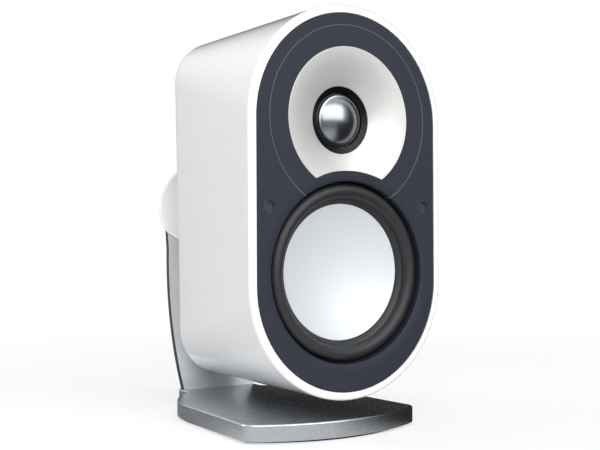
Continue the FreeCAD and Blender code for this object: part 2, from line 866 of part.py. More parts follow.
def make_baffle():
    """The front plate, with its origin in the woofer's middle."""
    body = new_body("front_baffle", y=front, z=woofer_height)
    half, tall = pocket_half - mm.fit_gap, pocket_tall - mm.fit_gap
    face = stadium(new_sketch(body, "XZ_Plane"), half, tall, woofer_drop)
    feature(body, "Pad", face, mm.baffle_thick, turned=True)
    dress(body, "Chamfer", lambda end: near(end.y, NOTHING), mm.baffle_edge)
    cut(body, disc(new_sketch(body, "XZ_Plane"), woofer_hole), both=True)
    throat = lune(new_sketch(body, "XZ_Plane"), mm.waveguide_radius + mm.fit_gap, cove_radius, drivers_apart)
    cut(body, throat, both=True)
    step = new_sketch(body, "XZ_Plane", -mm.flange_depth)
    lune(step, mm.waveguide_radius + mm.waveguide_flange + mm.fit_gap, cove_radius, drivers_apart)
    cut(body, step, mm.baffle_thick)
    cove = outline(new_sketch(body, "YZ_Plane"), [
        (-mm.cove_depth, woofer_hole - mm.cove), (NOTHING, cove_radius),
        (mm.cove_depth, woofer_hole), (mm.cove_depth, woofer_hole - mm.cove)])
    groove = body.newObject("PartDesign::Groove", "front_baffle_cove")
    groove.Profile = cove
    groove.ReferenceAxis = (cove, ["H_Axis"])
    groove.Angle = 360
    seam = new_sketch(body, "XZ_Plane")
    disc(seam, mm.seam_radius, NOTHING, drivers_apart)
    disc(seam, mm.seam_radius - mm.seam_width, NOTHING, drivers_apart)
    cut(body, seam, mm.seam_depth)
    for x in (-socket_x, socket_x):
        hole = new_sketch(body, "XZ_Plane")
        disc(hole, mm.socket_radius + mm.socket_wall + mm.run_gap, x, woofer_drop - mm.socket_drop)
        cut(body, hole, mm.socket_depth)
    for degrees in screw_turns:
        thread = new_sketch(body, "XZ_Plane", -mm.baffle_thick)
        disc(thread, mm.basket_screw_shank + mm.run_gap, *around(screw_circle, degrees))
        cut(body, thread, mm.basket_screw_bite + mm.fit_gap, turned=True)


def make_baffle_trim():
    seal = new_body("baffle_gasket", y=front, z=middle)
    rim = new_sketch(seal, "XZ_Plane", -mm.baffle_thick)
    stadium(rim, pocket_half - mm.fit_gap, pocket_tall - mm.fit_gap)
    stadium(rim, pocket_half - mm.ledge, pocket_tall - mm.ledge)
    feature(seal, "Pad", rim, mm.seal_thick, turned=True)
    cups = []
    for x in (-socket_x, socket_x):
        place_of = (x, front + mm.socket_depth, middle - mm.socket_drop, Vector(0, -1, 0))
        outer = rod("socket_outer", mm.socket_radius + mm.socket_wall, mm.socket_depth, *place_of)
        bore = (x, front + mm.socket_depth - mm.socket_wall, middle - mm.socket_drop, Vector(0, -1, 0))
        inner = rod("socket_inner", mm.socket_radius, mm.socket_depth, *bore)
        cups.append(subtract("socket", outer, inner))
    keep(joined("grille_sockets", "Compound", cups), "grille_sockets")


make_shell()
make_baffle()
make_baffle_trim()


# ---------------------------------------------------------------- woofer

land_outer = woofer_hole - mm.land_gap
roll_outer = land_outer - mm.land_width
roll_inner = roll_outer - mm.roll_width
cone_radius = roll_inner - mm.cone_lap
basket_lip = roll_outer - mm.lip_lap
basket_shoulder = basket_radius - mm.flange_reach
flange_back = baffle_back + mm.basket_flange
basket_end = baffle_back + mm.basket_length
basket_plate = basket_end - mm.basket_wall
shelf_back = mm.shelf_depth + mm.spider_shelf
dish_radius = (cone_radius * cone_radius + mm.cone_dish * mm.cone_dish) / (2 * mm.cone_dish)
cone_middle = mm.cone_edge_depth + mm.cone_dish
winding_radius = mm.coil_radius + mm.winding
motor_front = basket_end
motor_magnet = motor_front + mm.top_plate
motor_yoke = motor_magnet + mm.magnet_thick
motor_back = motor_yoke + mm.yoke_plate


def sagitta(radius, across, along):
    """How far an arc of a radius stands off the chord that spans two distances."""
    return radius - root(radius * radius - (across * across + along * along) / 4)


def basket_outside(depth):
    """Radius of the basket's sloping wall at a depth."""
    fall = (basket_shoulder - mm.basket_heel) / (basket_plate - flange_back)
    return basket_shoulder - fall * (depth - flange_back)


shelf_bore = basket_outside(mm.shelf_depth) - mm.basket_web - mm.shelf_width
spider_radius = shelf_bore + mm.spider_land


def make_basket():
    inside = [(depth, basket_outside(depth) - mm.basket_web) for depth in
              (flange_back, mm.shelf_depth, shelf_back, basket_plate)]
    body = spun("woofer_basket", woofer_height, [
        (baffle_back, basket_lip), inside[0], inside[1], (mm.shelf_depth, shelf_bore),
        (shelf_back, shelf_bore), inside[2], inside[3], (basket_plate, mm.basket_bore),
        (basket_end, mm.basket_bore), (basket_end, mm.basket_seat), (basket_plate, mm.basket_heel),
        (flange_back, basket_shoulder), (flange_back, basket_radius),
        (baffle_back, basket_radius)])
    half = mm.basket_window
    near_edge, far_edge = flange_back + mm.window_near, flange_back + mm.window_far
    window = outline(new_sketch(body, "XY_Plane"), [
        (half, near_edge), (half, far_edge), (-half, far_edge), (-half, near_edge)])
    pocket = cut(body, window, turned=True)
    pattern = body.newObject("PartDesign::PolarPattern", "woofer_basket_windows")
    pattern.Originals = [pocket]
    pattern.Axis = (plane_of(body, "Y_Axis"), [""])
    pattern.Angle = 360
    pattern.Occurrences = 6
    body.Tip = pattern
    doc.recompute()
    for degrees in screw_turns:
        hole = new_sketch(body, "XZ_Plane", -flange_back)
        disc(hole, mm.basket_screw_shank + mm.run_gap, *around(screw_circle, degrees))
        cut(body, hole, mm.basket_flange, turned=True)


def make_woofer_gasket():
    body = new_body("woofer_gasket", y=front, z=woofer_height)
    band = new_sketch(body, "XZ_Plane", -mm.baffle_thick)
    disc(band, land_outer + mm.rubber)
    disc(band, basket_radius - mm.fit_gap)
    for degrees in screw_turns:
        disc(band, mm.basket_screw_shank + mm.run_gap, *around(screw_circle, degrees))
    feature(body, "Pad", band, mm.seal_thick, turned=True)
    places = []
    for degrees in screw_turns:
        x, z = around(screw_circle, degrees)
        places.append((x, front + flange_back, woofer_height + z))
    grip = mm.basket_flange + mm.seal_thick + mm.basket_screw_bite
    screws("basket_screws", places, mm.basket_screw_shank, grip, mm.basket_screw_head,
           mm.basket_screw_cap, Vector(0, -1, 0))


def make_moving_parts():
    """Surround, cone, voice coil and spider."""
    thick = mm.rubber
    inner_end = cone_radius + mm.fit_gap
    edge_back = mm.cone_edge_depth + thick
    land_front = baffle_back - thick
    crown, bend = mm.roll_width / 2, mm.roll_depth
    spun("woofer_surround", woofer_height, [
        (mm.cone_edge_depth, inner_end), (mm.roll_foot, roll_inner), (bend, roll_inner, crown),
        (bend, roll_outer), (land_front, roll_outer), (land_front, land_outer),
        (baffle_back, land_outer), (baffle_back, roll_outer - thick),
        (bend, roll_outer - thick, thick - crown), (bend, roll_inner + thick),
        (mm.roll_foot + thick, roll_inner + thick), (edge_back, inner_end)])
    bow = sagitta(dish_radius, cone_radius, mm.cone_dish)
    wall = mm.cone_thick
    spun("woofer_cone", woofer_height, [
        (mm.cone_edge_depth, cone_radius, bow), (cone_middle, NOTHING), (cone_middle + wall, NOTHING, -bow),
        (mm.cone_edge_depth + wall, cone_radius)])
    former_start = cone_middle - dish_radius + root(
        dish_radius * dish_radius - mm.coil_radius * mm.coil_radius) + wall + 2 * mm.glue_gap
    former_end = motor_front + mm.top_plate / 2 + mm.winding_length / 2 + mm.winding
    winding_end = former_end - mm.winding
    winding_start = winding_end - mm.winding_length
    inner = mm.coil_radius - mm.former_wall
    spun("woofer_voice_coil", woofer_height, [
        (former_start, inner), (former_end, inner), (former_end, mm.coil_radius),
        (winding_end, mm.coil_radius), (winding_end, winding_radius), (winding_start, winding_radius),
        (winding_start, mm.coil_radius), (former_start, mm.coil_radius)])
    neck = mm.coil_radius + mm.glue_gap
    wave_start = neck + mm.spider_neck
    folds = int(mm.spider_folds.value)
    pitch = (shelf_bore - wave_start) / folds
    seat = mm.shelf_depth
    behind = [(seat, neck), (seat, wave_start)]
    for fold in range(folds):
        swing = mm.spider_wave if fold % 2 else -mm.spider_wave
        behind.append((seat + swing, wave_start + pitch * (fold + 0.5)))
    behind += [(seat, shelf_bore), (seat, spider_radius)]
    ahead = [(depth - mm.spider_thick, radius) for depth, radius in reversed(behind)]
    spun("woofer_spider", woofer_height, behind + ahead)


def make_motor():
    gap = mm.magnet_gap
    ring("woofer_top_plate", woofer_height, winding_radius + gap, mm.motor_plate_radius,
         motor_front, motor_magnet)
    ring("woofer_magnet", woofer_height, mm.magnet_bore, mm.magnet_radius, motor_magnet, motor_yoke)
    pole = mm.coil_radius - mm.former_wall - gap
    spun("woofer_yoke", woofer_height, [
        (motor_front, mm.pole_vent), (motor_back, mm.pole_vent), (motor_back, mm.motor_plate_radius),
        (motor_yoke, mm.motor_plate_radius), (motor_yoke, pole), (motor_front, pole)])


make_basket()
make_woofer_gasket()
make_moving_parts()
make_motor()


# ---------------------------------------------------------------- tweeter

horn_back = mm.throat_depth + mm.waveguide_wall
tweeter_magnet_front = horn_back + mm.tweeter_plate
tweeter_yoke_front = tweeter_magnet_front + mm.tweeter_magnet
tweeter_end = tweeter_yoke_front + mm.tweeter_back
tweeter_turns = (90, 210, 330)


def make_waveguide():
    seat = mm.flange_depth + mm.run_gap
    behind = seat + mm.waveguide_wall
    rim = mm.waveguide_radius
    flange = rim + mm.waveguide_flange
    body = spun("waveguide", tweeter_height, [
        (NOTHING, rim, -mm.flare_bulge), (mm.throat_depth, mm.throat_radius), (horn_back, mm.throat_radius),
        (horn_back, mm.chassis_radius), (behind, flange - mm.chassis_radius / 3), (behind, flange),
        (seat, flange), (seat, rim)])
    bite = new_sketch(body, "XZ_Plane")
    disc(bite, cove_radius + mm.fit_gap, NOTHING, -drivers_apart)
    cut(body, bite, both=True)
    for degrees in tweeter_turns:
        thread = new_sketch(body, "XZ_Plane", -horn_back)
        disc(thread, mm.tweeter_screw_shank + mm.run_gap, *around(mm.tweeter_screw_circle, degrees))
        cut(body, thread, mm.tweeter_screw_bite + mm.fit_gap, turned=True)


def make_dome():
    outer = mm.throat_radius - mm.fit_gap
    lip = mm.throat_depth + 2 * mm.run_gap
    spun("tweeter_bezel", tweeter_height, [
        (lip, outer), (horn_back, outer), (horn_back, mm.bezel_inner),
        (lip + mm.bezel_slope, mm.bezel_inner)])
    roll_front = horn_back - mm.dome_roll_base
    coil_outer = mm.dome_radius + mm.tweeter_coil_wall
    roll_start = coil_outer + mm.run_gap
    roll_end = roll_start + mm.dome_roll_width
    spun("tweeter_surround", tweeter_height, [
        (roll_front, roll_start, mm.dome_roll), (roll_front, roll_end), (horn_back, roll_end),
        (horn_back, roll_start)])
    base = horn_back - mm.dome_roll_base / 2
    apex = base - mm.dome_rise
    skin = mm.dome_wall
    radius = (mm.dome_radius * mm.dome_radius + mm.dome_rise * mm.dome_rise) / (2 * mm.dome_rise)
    inner = radius - skin
    inside = root(inner * inner - (radius - mm.dome_rise) * (radius - mm.dome_rise))
    spun("tweeter_dome", tweeter_height, [
        (apex, NOTHING, sagitta(radius, mm.dome_radius, mm.dome_rise)), (base, mm.dome_radius),
        (base, inside, -sagitta(inner, inside, mm.dome_rise - skin)), (apex + skin, NOTHING)])
    start = base + mm.glue_gap
    end = start + mm.tweeter_coil_length
    ring("tweeter_voice_coil", tweeter_height, mm.dome_radius, coil_outer, start, end)
    return coil_outer


def make_tweeter_motor(coil_outer):
    body = ring("tweeter_top_plate", tweeter_height, coil_outer + mm.tweeter_gap, mm.chassis_radius,
                horn_back, tweeter_magnet_front)
    places = []
    for degrees in tweeter_turns:
        x, z = around(mm.tweeter_screw_circle, degrees)
        hole = new_sketch(body, "XZ_Plane")
        disc(hole, mm.tweeter_screw_shank + mm.run_gap, x, z)
        cut(body, hole, both=True)
        places.append((x, front + tweeter_magnet_front, tweeter_height + z))
    grip = mm.tweeter_plate + mm.tweeter_screw_bite
    screws("tweeter_screws", places, mm.tweeter_screw_shank, grip, mm.tweeter_screw_head,
           mm.tweeter_screw_cap, Vector(0, -1, 0))
    ring("tweeter_magnet", tweeter_height, mm.tweeter_magnet_bore, mm.tweeter_magnet_radius,
         tweeter_magnet_front, tweeter_yoke_front)
    pole = mm.dome_radius - mm.tweeter_gap
    pole_front = horn_back + mm.tweeter_pole_sink
    spun("tweeter_yoke", tweeter_height, [
        (pole_front, NOTHING), (tweeter_end, NOTHING), (tweeter_end, mm.tweeter_motor),
        (tweeter_yoke_front, mm.tweeter_motor), (tweeter_yoke_front, pole), (pole_front, pole)])


def make_heat_sink():
    """A round block of cast fins, glued to the tweeter's motor."""
    sink = ring("tweeter_heat_sink", tweeter_height, NOTHING, mm.tweeter_motor, tweeter_end,
                tweeter_end + mm.sink_depth)
    slots = new_sketch(sink, "YZ_Plane")
    start, end = tweeter_end + mm.sink_base, tweeter_end + 2 * mm.sink_depth
    half = mm.sink_slot / 2
    for step in range(-3, 4):
        low, high = mm.sink_pitch * step - half, mm.sink_pitch * step + half
        outline(slots, [(start, low), (end, low), (end, high), (start, high)])
    cut(sink, slots, both=True)


make_waveguide()
make_tweeter_motor(make_dome())
make_heat_sink()


# ---------------------------------------------------------------- terminals

terminal_face = terminal_back + mm.terminal_flange
cup_floor = terminal_face - mm.cup_depth
cup_front = cup_floor - mm.cup_wall
terminal_height = middle + mm.terminal_rise
post_half = mm.post_apart / 2
collar_end = cup_floor + mm.collar_thick
clamp_end = collar_end + mm.clamp_thick
cap_end = clamp_end + mm.cap_length
post_end = cap_end - mm.cap_roof - mm.post_short
board_back = cup_front - mm.nut_thick
board_front = board_back - mm.board_thick
post_start = board_front - mm.nut_thick - mm.cap_roof
post_hole = mm.post_radius + mm.run_gap


def make_terminal_plate():
    """A recessed dish in the back of the cabinet that carries the two posts."""
    body = new_body("terminal_plate", y=front, z=terminal_height)
    flange = stadium(new_sketch(body, "XZ_Plane", -terminal_back), mm.terminal_half, mm.terminal_tall)
    feature(body, "Pad", flange, mm.terminal_flange, turned=True)
    dress(body, "Chamfer", lambda end: near(end.y, terminal_face), mm.cup_edge)
    wall = mm.cup_wall
    cup = stadium(new_sketch(body, "XZ_Plane", -cup_front), mm.cup_half + wall, mm.cup_tall + wall)
    feature(body, "Pad", cup, terminal_back - cup_front, turned=True)
    hollow = stadium(new_sketch(body, "XZ_Plane", -terminal_face), mm.cup_half, mm.cup_tall)
    cut(body, hollow, mm.cup_depth, turned=True)
    holes = new_sketch(body, "XZ_Plane")
    for z in (-post_half, post_half):
        disc(holes, post_hole, NOTHING, z)
    for z in (-mm.terminal_screw_apart / 2, mm.terminal_screw_apart / 2):
        disc(holes, mm.terminal_screw_shank + mm.run_gap, NOTHING, z)
    cut(body, holes, both=True)


def make_post(colour, z):
    """One binding post: threaded post with a collar, clamp washer and fluted cap."""
    spun(f"{colour}_post", z, [
        (post_start, NOTHING), (post_end - mm.post_bore_depth, NOTHING),
        (post_end - mm.post_bore_depth, mm.post_bore), (post_end, mm.post_bore),
        (post_end, mm.post_radius), (collar_end, mm.post_radius), (collar_end, mm.collar_radius),
        (cup_floor, mm.collar_radius), (cup_floor, mm.post_radius), (post_start, mm.post_radius)])
    ring(f"{colour}_clamp_washer", z, post_hole, mm.collar_radius, collar_end, clamp_end)
    roof = cap_end - mm.cap_roof
    edge = mm.cap_edge
    cap = spun(f"{colour}_cap", z, [
        (clamp_end, post_hole), (roof, post_hole), (roof, mm.plug_mouth), (cap_end, mm.plug_mouth),
        (cap_end, mm.cap_radius - edge), (cap_end - edge, mm.cap_radius), (clamp_end, mm.cap_radius)])
    flute = new_sketch(cap, "XZ_Plane", -clamp_end - mm.flute_start)
    disc(flute, mm.flute_radius, mm.cap_radius + mm.flute_radius / 2)
    one = cut(cap, flute, mm.cap_length, turned=True)
    pattern = cap.newObject("PartDesign::PolarPattern", f"{colour}_cap_flutes")
    pattern.Originals = [one]
    pattern.Axis = (plane_of(cap, "Y_Axis"), [""])
    pattern.Angle = 360
    pattern.Occurrences = 12
    cap.Tip = pattern
    doc.recompute()


def make_terminal_hardware():
    nuts = []
    for z in (-post_half, post_half):
        for start in (board_front - mm.nut_thick, board_back):
            spot = (NOTHING, front + start, terminal_height + z, Vector(0, 1, 0))
            outer = hexagon("nut_outer", mm.nut_radius, mm.nut_thick, *spot)
            inner = rod("nut_inner", post_hole, mm.nut_thick, *spot)
            nuts.append(subtract("nut", outer, inner))
    keep(joined("terminal_nuts", "Compound", nuts), "terminal_nuts")
    half = mm.terminal_screw_apart / 2
    places = [(NOTHING, front + terminal_face, terminal_height + z) for z in (-half, half)]
    screws("terminal_screws", places, mm.terminal_screw_shank, mm.terminal_flange + mm.terminal_screw_bite,
           mm.terminal_screw_head, mm.terminal_screw_cap, Vector(0, -1, 0))


make_terminal_plate()
make_post("red", terminal_height + post_half)
make_post("black", terminal_height - post_half)
make_terminal_hardware()


# ---------------------------------------------------------------- crossover

part_face = board_front


def make_board():
    body = new_body("crossover_board", y=front, z=terminal_height)
    half, tall = mm.board_half, mm.board_tall
    board = new_sketch(body, "XZ_Plane", -board_front)
    outline(board, [(half, -tall), (half, tall), (-half, tall), (-half, -tall)])
    for z in (-post_half, post_half):
        disc(board, post_hole, NOTHING, z)
    feature(body, "Pad", board, mm.board_thick, turned=True)


def wound_coil(label, z, radius, bore, length):
    """A bobbin-shaped coil that stands on the board, left of its middle."""
    body = new_body(label, x=-mm.column_out, y=front, z=z)
    face = new_sketch(body, "XZ_Plane", -part_face)
    disc(face, radius)
    disc(face, bore)
    feature(body, "Pad", face, length)


def make_crossover_parts():
    low, high = terminal_height - mm.column_rise, terminal_height + mm.column_rise
    wound_coil("woofer_inductor", low, mm.inductor_radius, mm.inductor_bore, mm.inductor_length)
    wound_coil("tweeter_inductor", high, mm.choke_radius, mm.choke_bore, mm.choke_length)
    lift = front + part_face - mm.capacitor_radius - mm.run_gap
    lying = rod("tweeter_capacitor_can", mm.capacitor_radius, mm.capacitor_length,
                -mm.capacitor_length / 2, lift, terminal_height, Vector(1, 0, 0))
    keep(lying, "tweeter_capacitor")
    standing = rod("woofer_capacitor_can", mm.small_capacitor_radius, mm.small_capacitor_length,
                   mm.column_out, front + part_face, low, Vector(0, -1, 0))
    keep(standing, "woofer_capacitor")
    side, length = mm.resistor_side, mm.resistor_length
    brick = block("resistor_brick", mm.column_out - side / 2, front + part_face - side, high - length / 2,
                  side, side, length)
    keep(brick, "resistor")


def make_wadding():
    half, tall = mm.wadding_half, mm.wadding_tall
    near_face, low = front + motor_back + mm.glue_gap, middle - mm.wadding_drop - tall / 2
    soft = block("wadding_block", -half, near_face, low, 2 * half, mm.wadding_thick, tall)
    keep(soft, "damping_wadding")


make_board()
make_crossover_parts()
make_wadding()
doc.recompute()


# ---------------------------------------------------------------- checks and files

for item in doc.Objects:
    if "Invalid" in item.State or "Error" in item.State:
        raise RuntimeError(f"{item.Label} didn't compute: {item.State}")
for item in parts:
    if item.Shape.isNull() or not item.Shape.isValid():
        raise RuntimeError(f"{item.Label} isn't a sound solid")
os.makedirs("parts", exist_ok=True)
for item in parts:
    item.Shape.exportStep(f"parts/{item.Label}.step")
print(f"{len(parts)} pieces written")
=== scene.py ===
import json
import math

import bmesh
import bpy
import numpy as np
from mathutils import Matrix, Vector


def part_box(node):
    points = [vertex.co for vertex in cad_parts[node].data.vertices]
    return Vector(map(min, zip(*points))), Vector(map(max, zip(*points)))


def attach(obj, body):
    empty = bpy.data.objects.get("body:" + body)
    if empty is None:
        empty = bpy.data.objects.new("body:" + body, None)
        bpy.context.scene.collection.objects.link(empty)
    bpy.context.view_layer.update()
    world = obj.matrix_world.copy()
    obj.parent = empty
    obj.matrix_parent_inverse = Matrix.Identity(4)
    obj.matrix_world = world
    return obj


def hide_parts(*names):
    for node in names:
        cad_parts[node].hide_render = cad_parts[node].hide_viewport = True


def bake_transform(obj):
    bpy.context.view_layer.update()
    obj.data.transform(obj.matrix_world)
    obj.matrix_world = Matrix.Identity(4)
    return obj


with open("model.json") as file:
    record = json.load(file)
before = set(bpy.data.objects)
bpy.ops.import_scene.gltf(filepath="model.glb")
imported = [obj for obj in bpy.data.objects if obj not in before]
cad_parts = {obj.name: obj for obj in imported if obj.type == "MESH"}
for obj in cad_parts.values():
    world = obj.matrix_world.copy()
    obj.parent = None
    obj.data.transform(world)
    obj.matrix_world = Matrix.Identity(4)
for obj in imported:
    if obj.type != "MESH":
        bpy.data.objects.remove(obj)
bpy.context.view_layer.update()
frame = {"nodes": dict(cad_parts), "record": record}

mm = 0.001  # sizes are in millimetres below, and the frame is in metres
weld = 2e-6  # points closer than this, in metres, are one point
nodes = frame["nodes"]
scene = bpy.context.scene
scene.view_settings.view_transform = "Standard"


def middleOf(node):
    # The middle of a CAD node's box
    low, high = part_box(node)
    return (low + high) / 2


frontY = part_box("cabinet_shell")[0].y
cabinetZ = middleOf("front_baffle").z
wooferZ = middleOf("woofer_cone").z
tweeterZ = middleOf("tweeter_dome").z
hubZ = middleOf("swivel_disc").z
terminalZ = middleOf("terminal_plate").z
print("frame loaded")


def gridMesh(name, points, capped=False, ringed=False, sharpAbove=30):
    # points is rows by columns by 3, in metres. The last column joins the first. Capped ends get
    # one face each, and a ringed grid joins its last row to its first
    if ringed:
        points = np.concatenate([points, points[:1]])
    rows, columns = points.shape[:2]
    across = np.arange(columns)
    up = np.arange(rows - 1)[:, None] * columns
    ahead = (across + 1) % columns
    corners = [up + across, up + ahead, up + columns + ahead, up + columns + across]
    faces = np.stack(corners, -1).reshape(-1, 4).tolist()
    if capped:
        faces += [across.tolist(), (across + (rows - 1) * columns).tolist()]
    mesh = bpy.data.meshes.new(name)
    mesh.from_pydata(points.reshape(-1, 3).tolist(), [], faces)
    return finished(mesh, sharpAbove)


def finished(mesh, sharpAbove=30):
    # Seams and poles are merged, normals point out, and corners above an angle stay sharp
    work = bmesh.new()
    work.from_mesh(mesh)
    bmesh.ops.remove_doubles(work, verts=work.verts, dist=weld)
    bmesh.ops.dissolve_degenerate(work, edges=work.edges, dist=weld / 2)
    bmesh.ops.recalc_face_normals(work, faces=work.faces)
    work.to_mesh(mesh)
    work.free()
    mesh.shade_smooth()
    mesh.set_sharp_from_angle(angle=math.radians(sharpAbove))
    return mesh


def arc(centre, radius, start, end, count):
    # Points of a circle's arc, as (depth, radius): centre plus radius times (cos, sin) of the angle
    angle = np.radians(np.linspace(start, end, count))
    return np.stack([centre[0] + radius * np.cos(angle), centre[1] + radius * np.sin(angle)], -1)


def bowed(start, end, rise, count):
    # A circle's arc from start to end that stands rise off its chord, to the left when positive.
    # Its radius is (a quarter of the chord squared plus rise squared) over twice the rise
    start, end = np.asarray(start, float), np.asarray(end, float)
    chord = end - start
    length = np.hypot(*chord)
    left = np.array([-chord[1], chord[0]]) / length
    radius = (length * length / 4 + rise * rise) / (2 * rise)
    half = np.arcsin(np.clip(length / 2 / abs(radius), -1, 1))
    angle = np.linspace(-half, half, count)[:, None]
    middle = (start + end) / 2 + left * (rise - radius)
    return middle + left * radius * np.cos(angle) + chord / length * abs(radius) * np.sin(angle)


def rounded(corners, radius, count=6):
    # An open line whose inner corners are replaced by arcs, each tangent to both of its sides: it
    # starts and ends at radius over the tangent of half the corner's angle
    corners = np.asarray(corners, float)
    line = [corners[0]]
    for before, corner, after in zip(corners[:-2], corners[1:-1], corners[2:]):
        back, on = before - corner, after - corner
        back, on = back / np.hypot(*back), on / np.hypot(*on)
        half = np.arccos(np.clip(back @ on, -1, 1)) / 2
        centre = corner + (back + on) / np.hypot(*(back + on)) * radius / np.sin(half)
        start = corner + back * radius / np.tan(half) - centre
        end = corner + on * radius / np.tan(half) - centre
        first, last = np.arctan2(start[1], start[0]), np.arctan2(end[1], end[0])
        last += 2 * np.pi * np.round((first - last) / (2 * np.pi))
        angle = np.linspace(first, last, count)
        line += list(centre + radius * np.stack([np.cos(angle), np.sin(angle)], -1))
    return np.array(line + [corners[-1]])


def turned(profile, centreZ, centreX=0.0, segments=192):
    # A profile of (depth, radius) in millimetres, swept round a line that runs back from the front:
    # x is radius times sin of the angle, z is radius times cos, and y is the depth
    profile = np.concatenate([np.atleast_2d(np.asarray(part, float)) for part in profile])
    angle = np.linspace(0, 2 * np.pi, segments, endpoint=False)
    depth = np.broadcast_to(profile[:, :1], (len(profile), segments))
    x = profile[:, 1:] * np.sin(angle)
    z = profile[:, 1:] * np.cos(angle)
    return np.stack([centreX + x * mm, frontY + depth * mm, centreZ + z * mm], -1)


def stadiums(rows, centreZ, endSteps=72, sideSteps=30):
    # Each row is (depth, half width, half height, lean in degrees). A point goes round a slot with
    # round ends: x is half the width times cos of the angle, and the height is half the width times
    # sin, moved up or down by half the straight side. The slot's plane leans back about its middle
    bend = np.linspace(0, np.pi, endSteps + 1)
    side = np.linspace(1, -1, sideSteps + 2)[1:-1]
    turn = np.concatenate([bend, np.full(sideSteps, np.pi), bend + np.pi, np.full(sideSteps, 2 * np.pi)])
    lift = np.concatenate([np.ones(endSteps + 1), side, -np.ones(endSteps + 1), -side])
    depth, half, tall, lean = np.asarray(rows, float).T[:, :, None]
    up = half * np.sin(turn) + (tall - half) * lift
    lean = np.radians(lean)
    x = half * np.cos(turn)
    y = depth + up * np.sin(lean)
    return np.stack([x * mm, frontY + y * mm, centreZ + up * np.cos(lean) * mm], -1)


def carve(mesh, tools, operation="DIFFERENCE"):
    # Cuts the tools from a mesh, or adds them to it, one after another
    for tool in tools:
        blank = bpy.data.objects.new("blank", mesh)
        cutter = bpy.data.objects.new("cutter", tool)
        scene.collection.objects.link(blank)
        scene.collection.objects.link(cutter)
        boolean = blank.modifiers.new("carve", "BOOLEAN")
        boolean.operation, boolean.object, boolean.solver = operation, cutter, "EXACT"
        graph = bpy.context.evaluated_depsgraph_get()
        mesh = bpy.data.meshes.new_from_object(blank.evaluated_get(graph), depsgraph=graph)
        bpy.data.objects.remove(blank)
        bpy.data.objects.remove(cutter)
    return finished(mesh)


def drum(radius, near, far, centreZ, centreX=0.0, segments=96):
    # A capped cylinder between two depths
    return gridMesh("drum", turned([(near, radius), (far, radius)], centreZ, centreX, segments), capped=True)


def softened(node, width, steps=3, cornerAbove=35, flatBelow=0.4):
    # A merged copy of a CAD node with its corners rounded. Angles are in degrees
    mesh = nodes[node].data.copy()
    mesh.name = node
    if mesh.has_custom_normals:
        mesh.attributes.remove(mesh.attributes["custom_normal"])
    mesh.materials.clear()
    work = bmesh.new()
    work.from_mesh(mesh)
    bmesh.ops.remove_doubles(work, verts=work.verts, dist=weld)
    bmesh.ops.dissolve_limit(work, angle_limit=math.radians(flatBelow), verts=work.verts, edges=work.edges)
    work.to_mesh(mesh)
    work.free()
    mesh.shade_smooth()
    mesh.set_sharp_from_angle(angle=math.radians(cornerAbove))
    piece = bpy.data.objects.new(node + "_finished", mesh)
    bevel = piece.modifiers.new("rounded corners", "BEVEL")
    bevel.width, bevel.segments, bevel.limit_method = width * mm, steps, "ANGLE"
    bevel.angle_limit = math.radians(cornerAbove)
    bevel.use_clamp_overlap = True
    bevel.harden_normals = True
    return piece


def addPiece(piece, body, material, replaced=()):
    # A mesh, or an object with its modifiers, becomes part of the model
    if isinstance(piece, bpy.types.Mesh):
        mesh = piece
        piece = bpy.data.objects.new(mesh.name, mesh)
        even = piece.modifiers.new("even shading", "WEIGHTED_NORMAL")
        even.keep_sharp = True
    scene.collection.objects.link(piece)
    piece.data.materials.clear()
    piece.data.materials.append(material)
    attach(piece, body)
    if replaced:
        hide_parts(*replaced)


def toLinear(code):
    # An sRGB hex colour as linear light
    channels = [int(code[start:start + 2], 16) / 255 for start in (1, 3, 5)]
    return [c / 12.92 if c <= 0.04045 else ((c + 0.055) / 1.055) ** 2.4 for c in channels] + [1.0]


def addNode(tree, kind, settings=(), links=()):
    # One node with its settings and the outputs that feed it. A setting goes to the socket of that
    # name or number, or else to the property of that name
    node = tree.nodes.new(kind)
    for name, value in dict(settings).items():
        if isinstance(name, int) or name in node.inputs:
            node.inputs[name].default_value = value
        else:
            setattr(node, name, value)
    for name, source in dict(links).items():
        tree.links.new(source, node.inputs[name])
    return node


def softStep(start, end, low, high):
    # What makes a Map Range node a soft step: low at start, high at end
    spans = {"From Min": start, "From Max": end, "To Min": low, "To Max": high}
    return {"interpolation_type": "SMOOTHSTEP", **spans}


def newMaterial(name, colour, **settings):
    # A material, its nodes and its shader. Each setting is a socket's name with _ for its spaces
    material = bpy.data.materials.new(name)
    material.use_nodes = True
    tree = material.node_tree
    shader = tree.nodes["Principled BSDF"]
    shader.inputs["Base Color"].default_value = toLinear(colour)
    for socket, value in settings.items():
        shader.inputs[socket.replace("_", " ")].default_value = value
    return material, tree, shader


def addGrain(tree, shader, size, height, detail=3.0, stretch=(1, 1, 1)):
    # A bump whose cells are size millimetres across and height millimetres deep
    place = addNode(tree, "ShaderNodeTexCoord")
    mapping = addNode(tree, "ShaderNodeMapping", {"Scale": stretch}, {"Vector": place.outputs["Object"]})
    cells = {"Scale": 1 / (size * mm), "Detail": detail}
    noise = addNode(tree, "ShaderNodeTexNoise", cells, {"Vector": mapping.outputs["Vector"]})
    level = noise.outputs[0]
    bump = addNode(tree, "ShaderNodeBump", {"Strength": 1.0, "Distance": height * mm}, {"Height": level})
    tree.links.new(bump.outputs["Normal"], shader.inputs["Normal"])
    return level


def addMottle(tree, shader, level, low, high):
    # The colour wanders between two shades with a pattern. Sockets 6 and 7 are the two colours
    shades = {"data_type": "RGBA", 6: toLinear(low), 7: toLinear(high)}
    blend = addNode(tree, "ShaderNodeMix", shades, {0: level})
    tree.links.new(blend.outputs[2], shader.inputs["Base Color"])


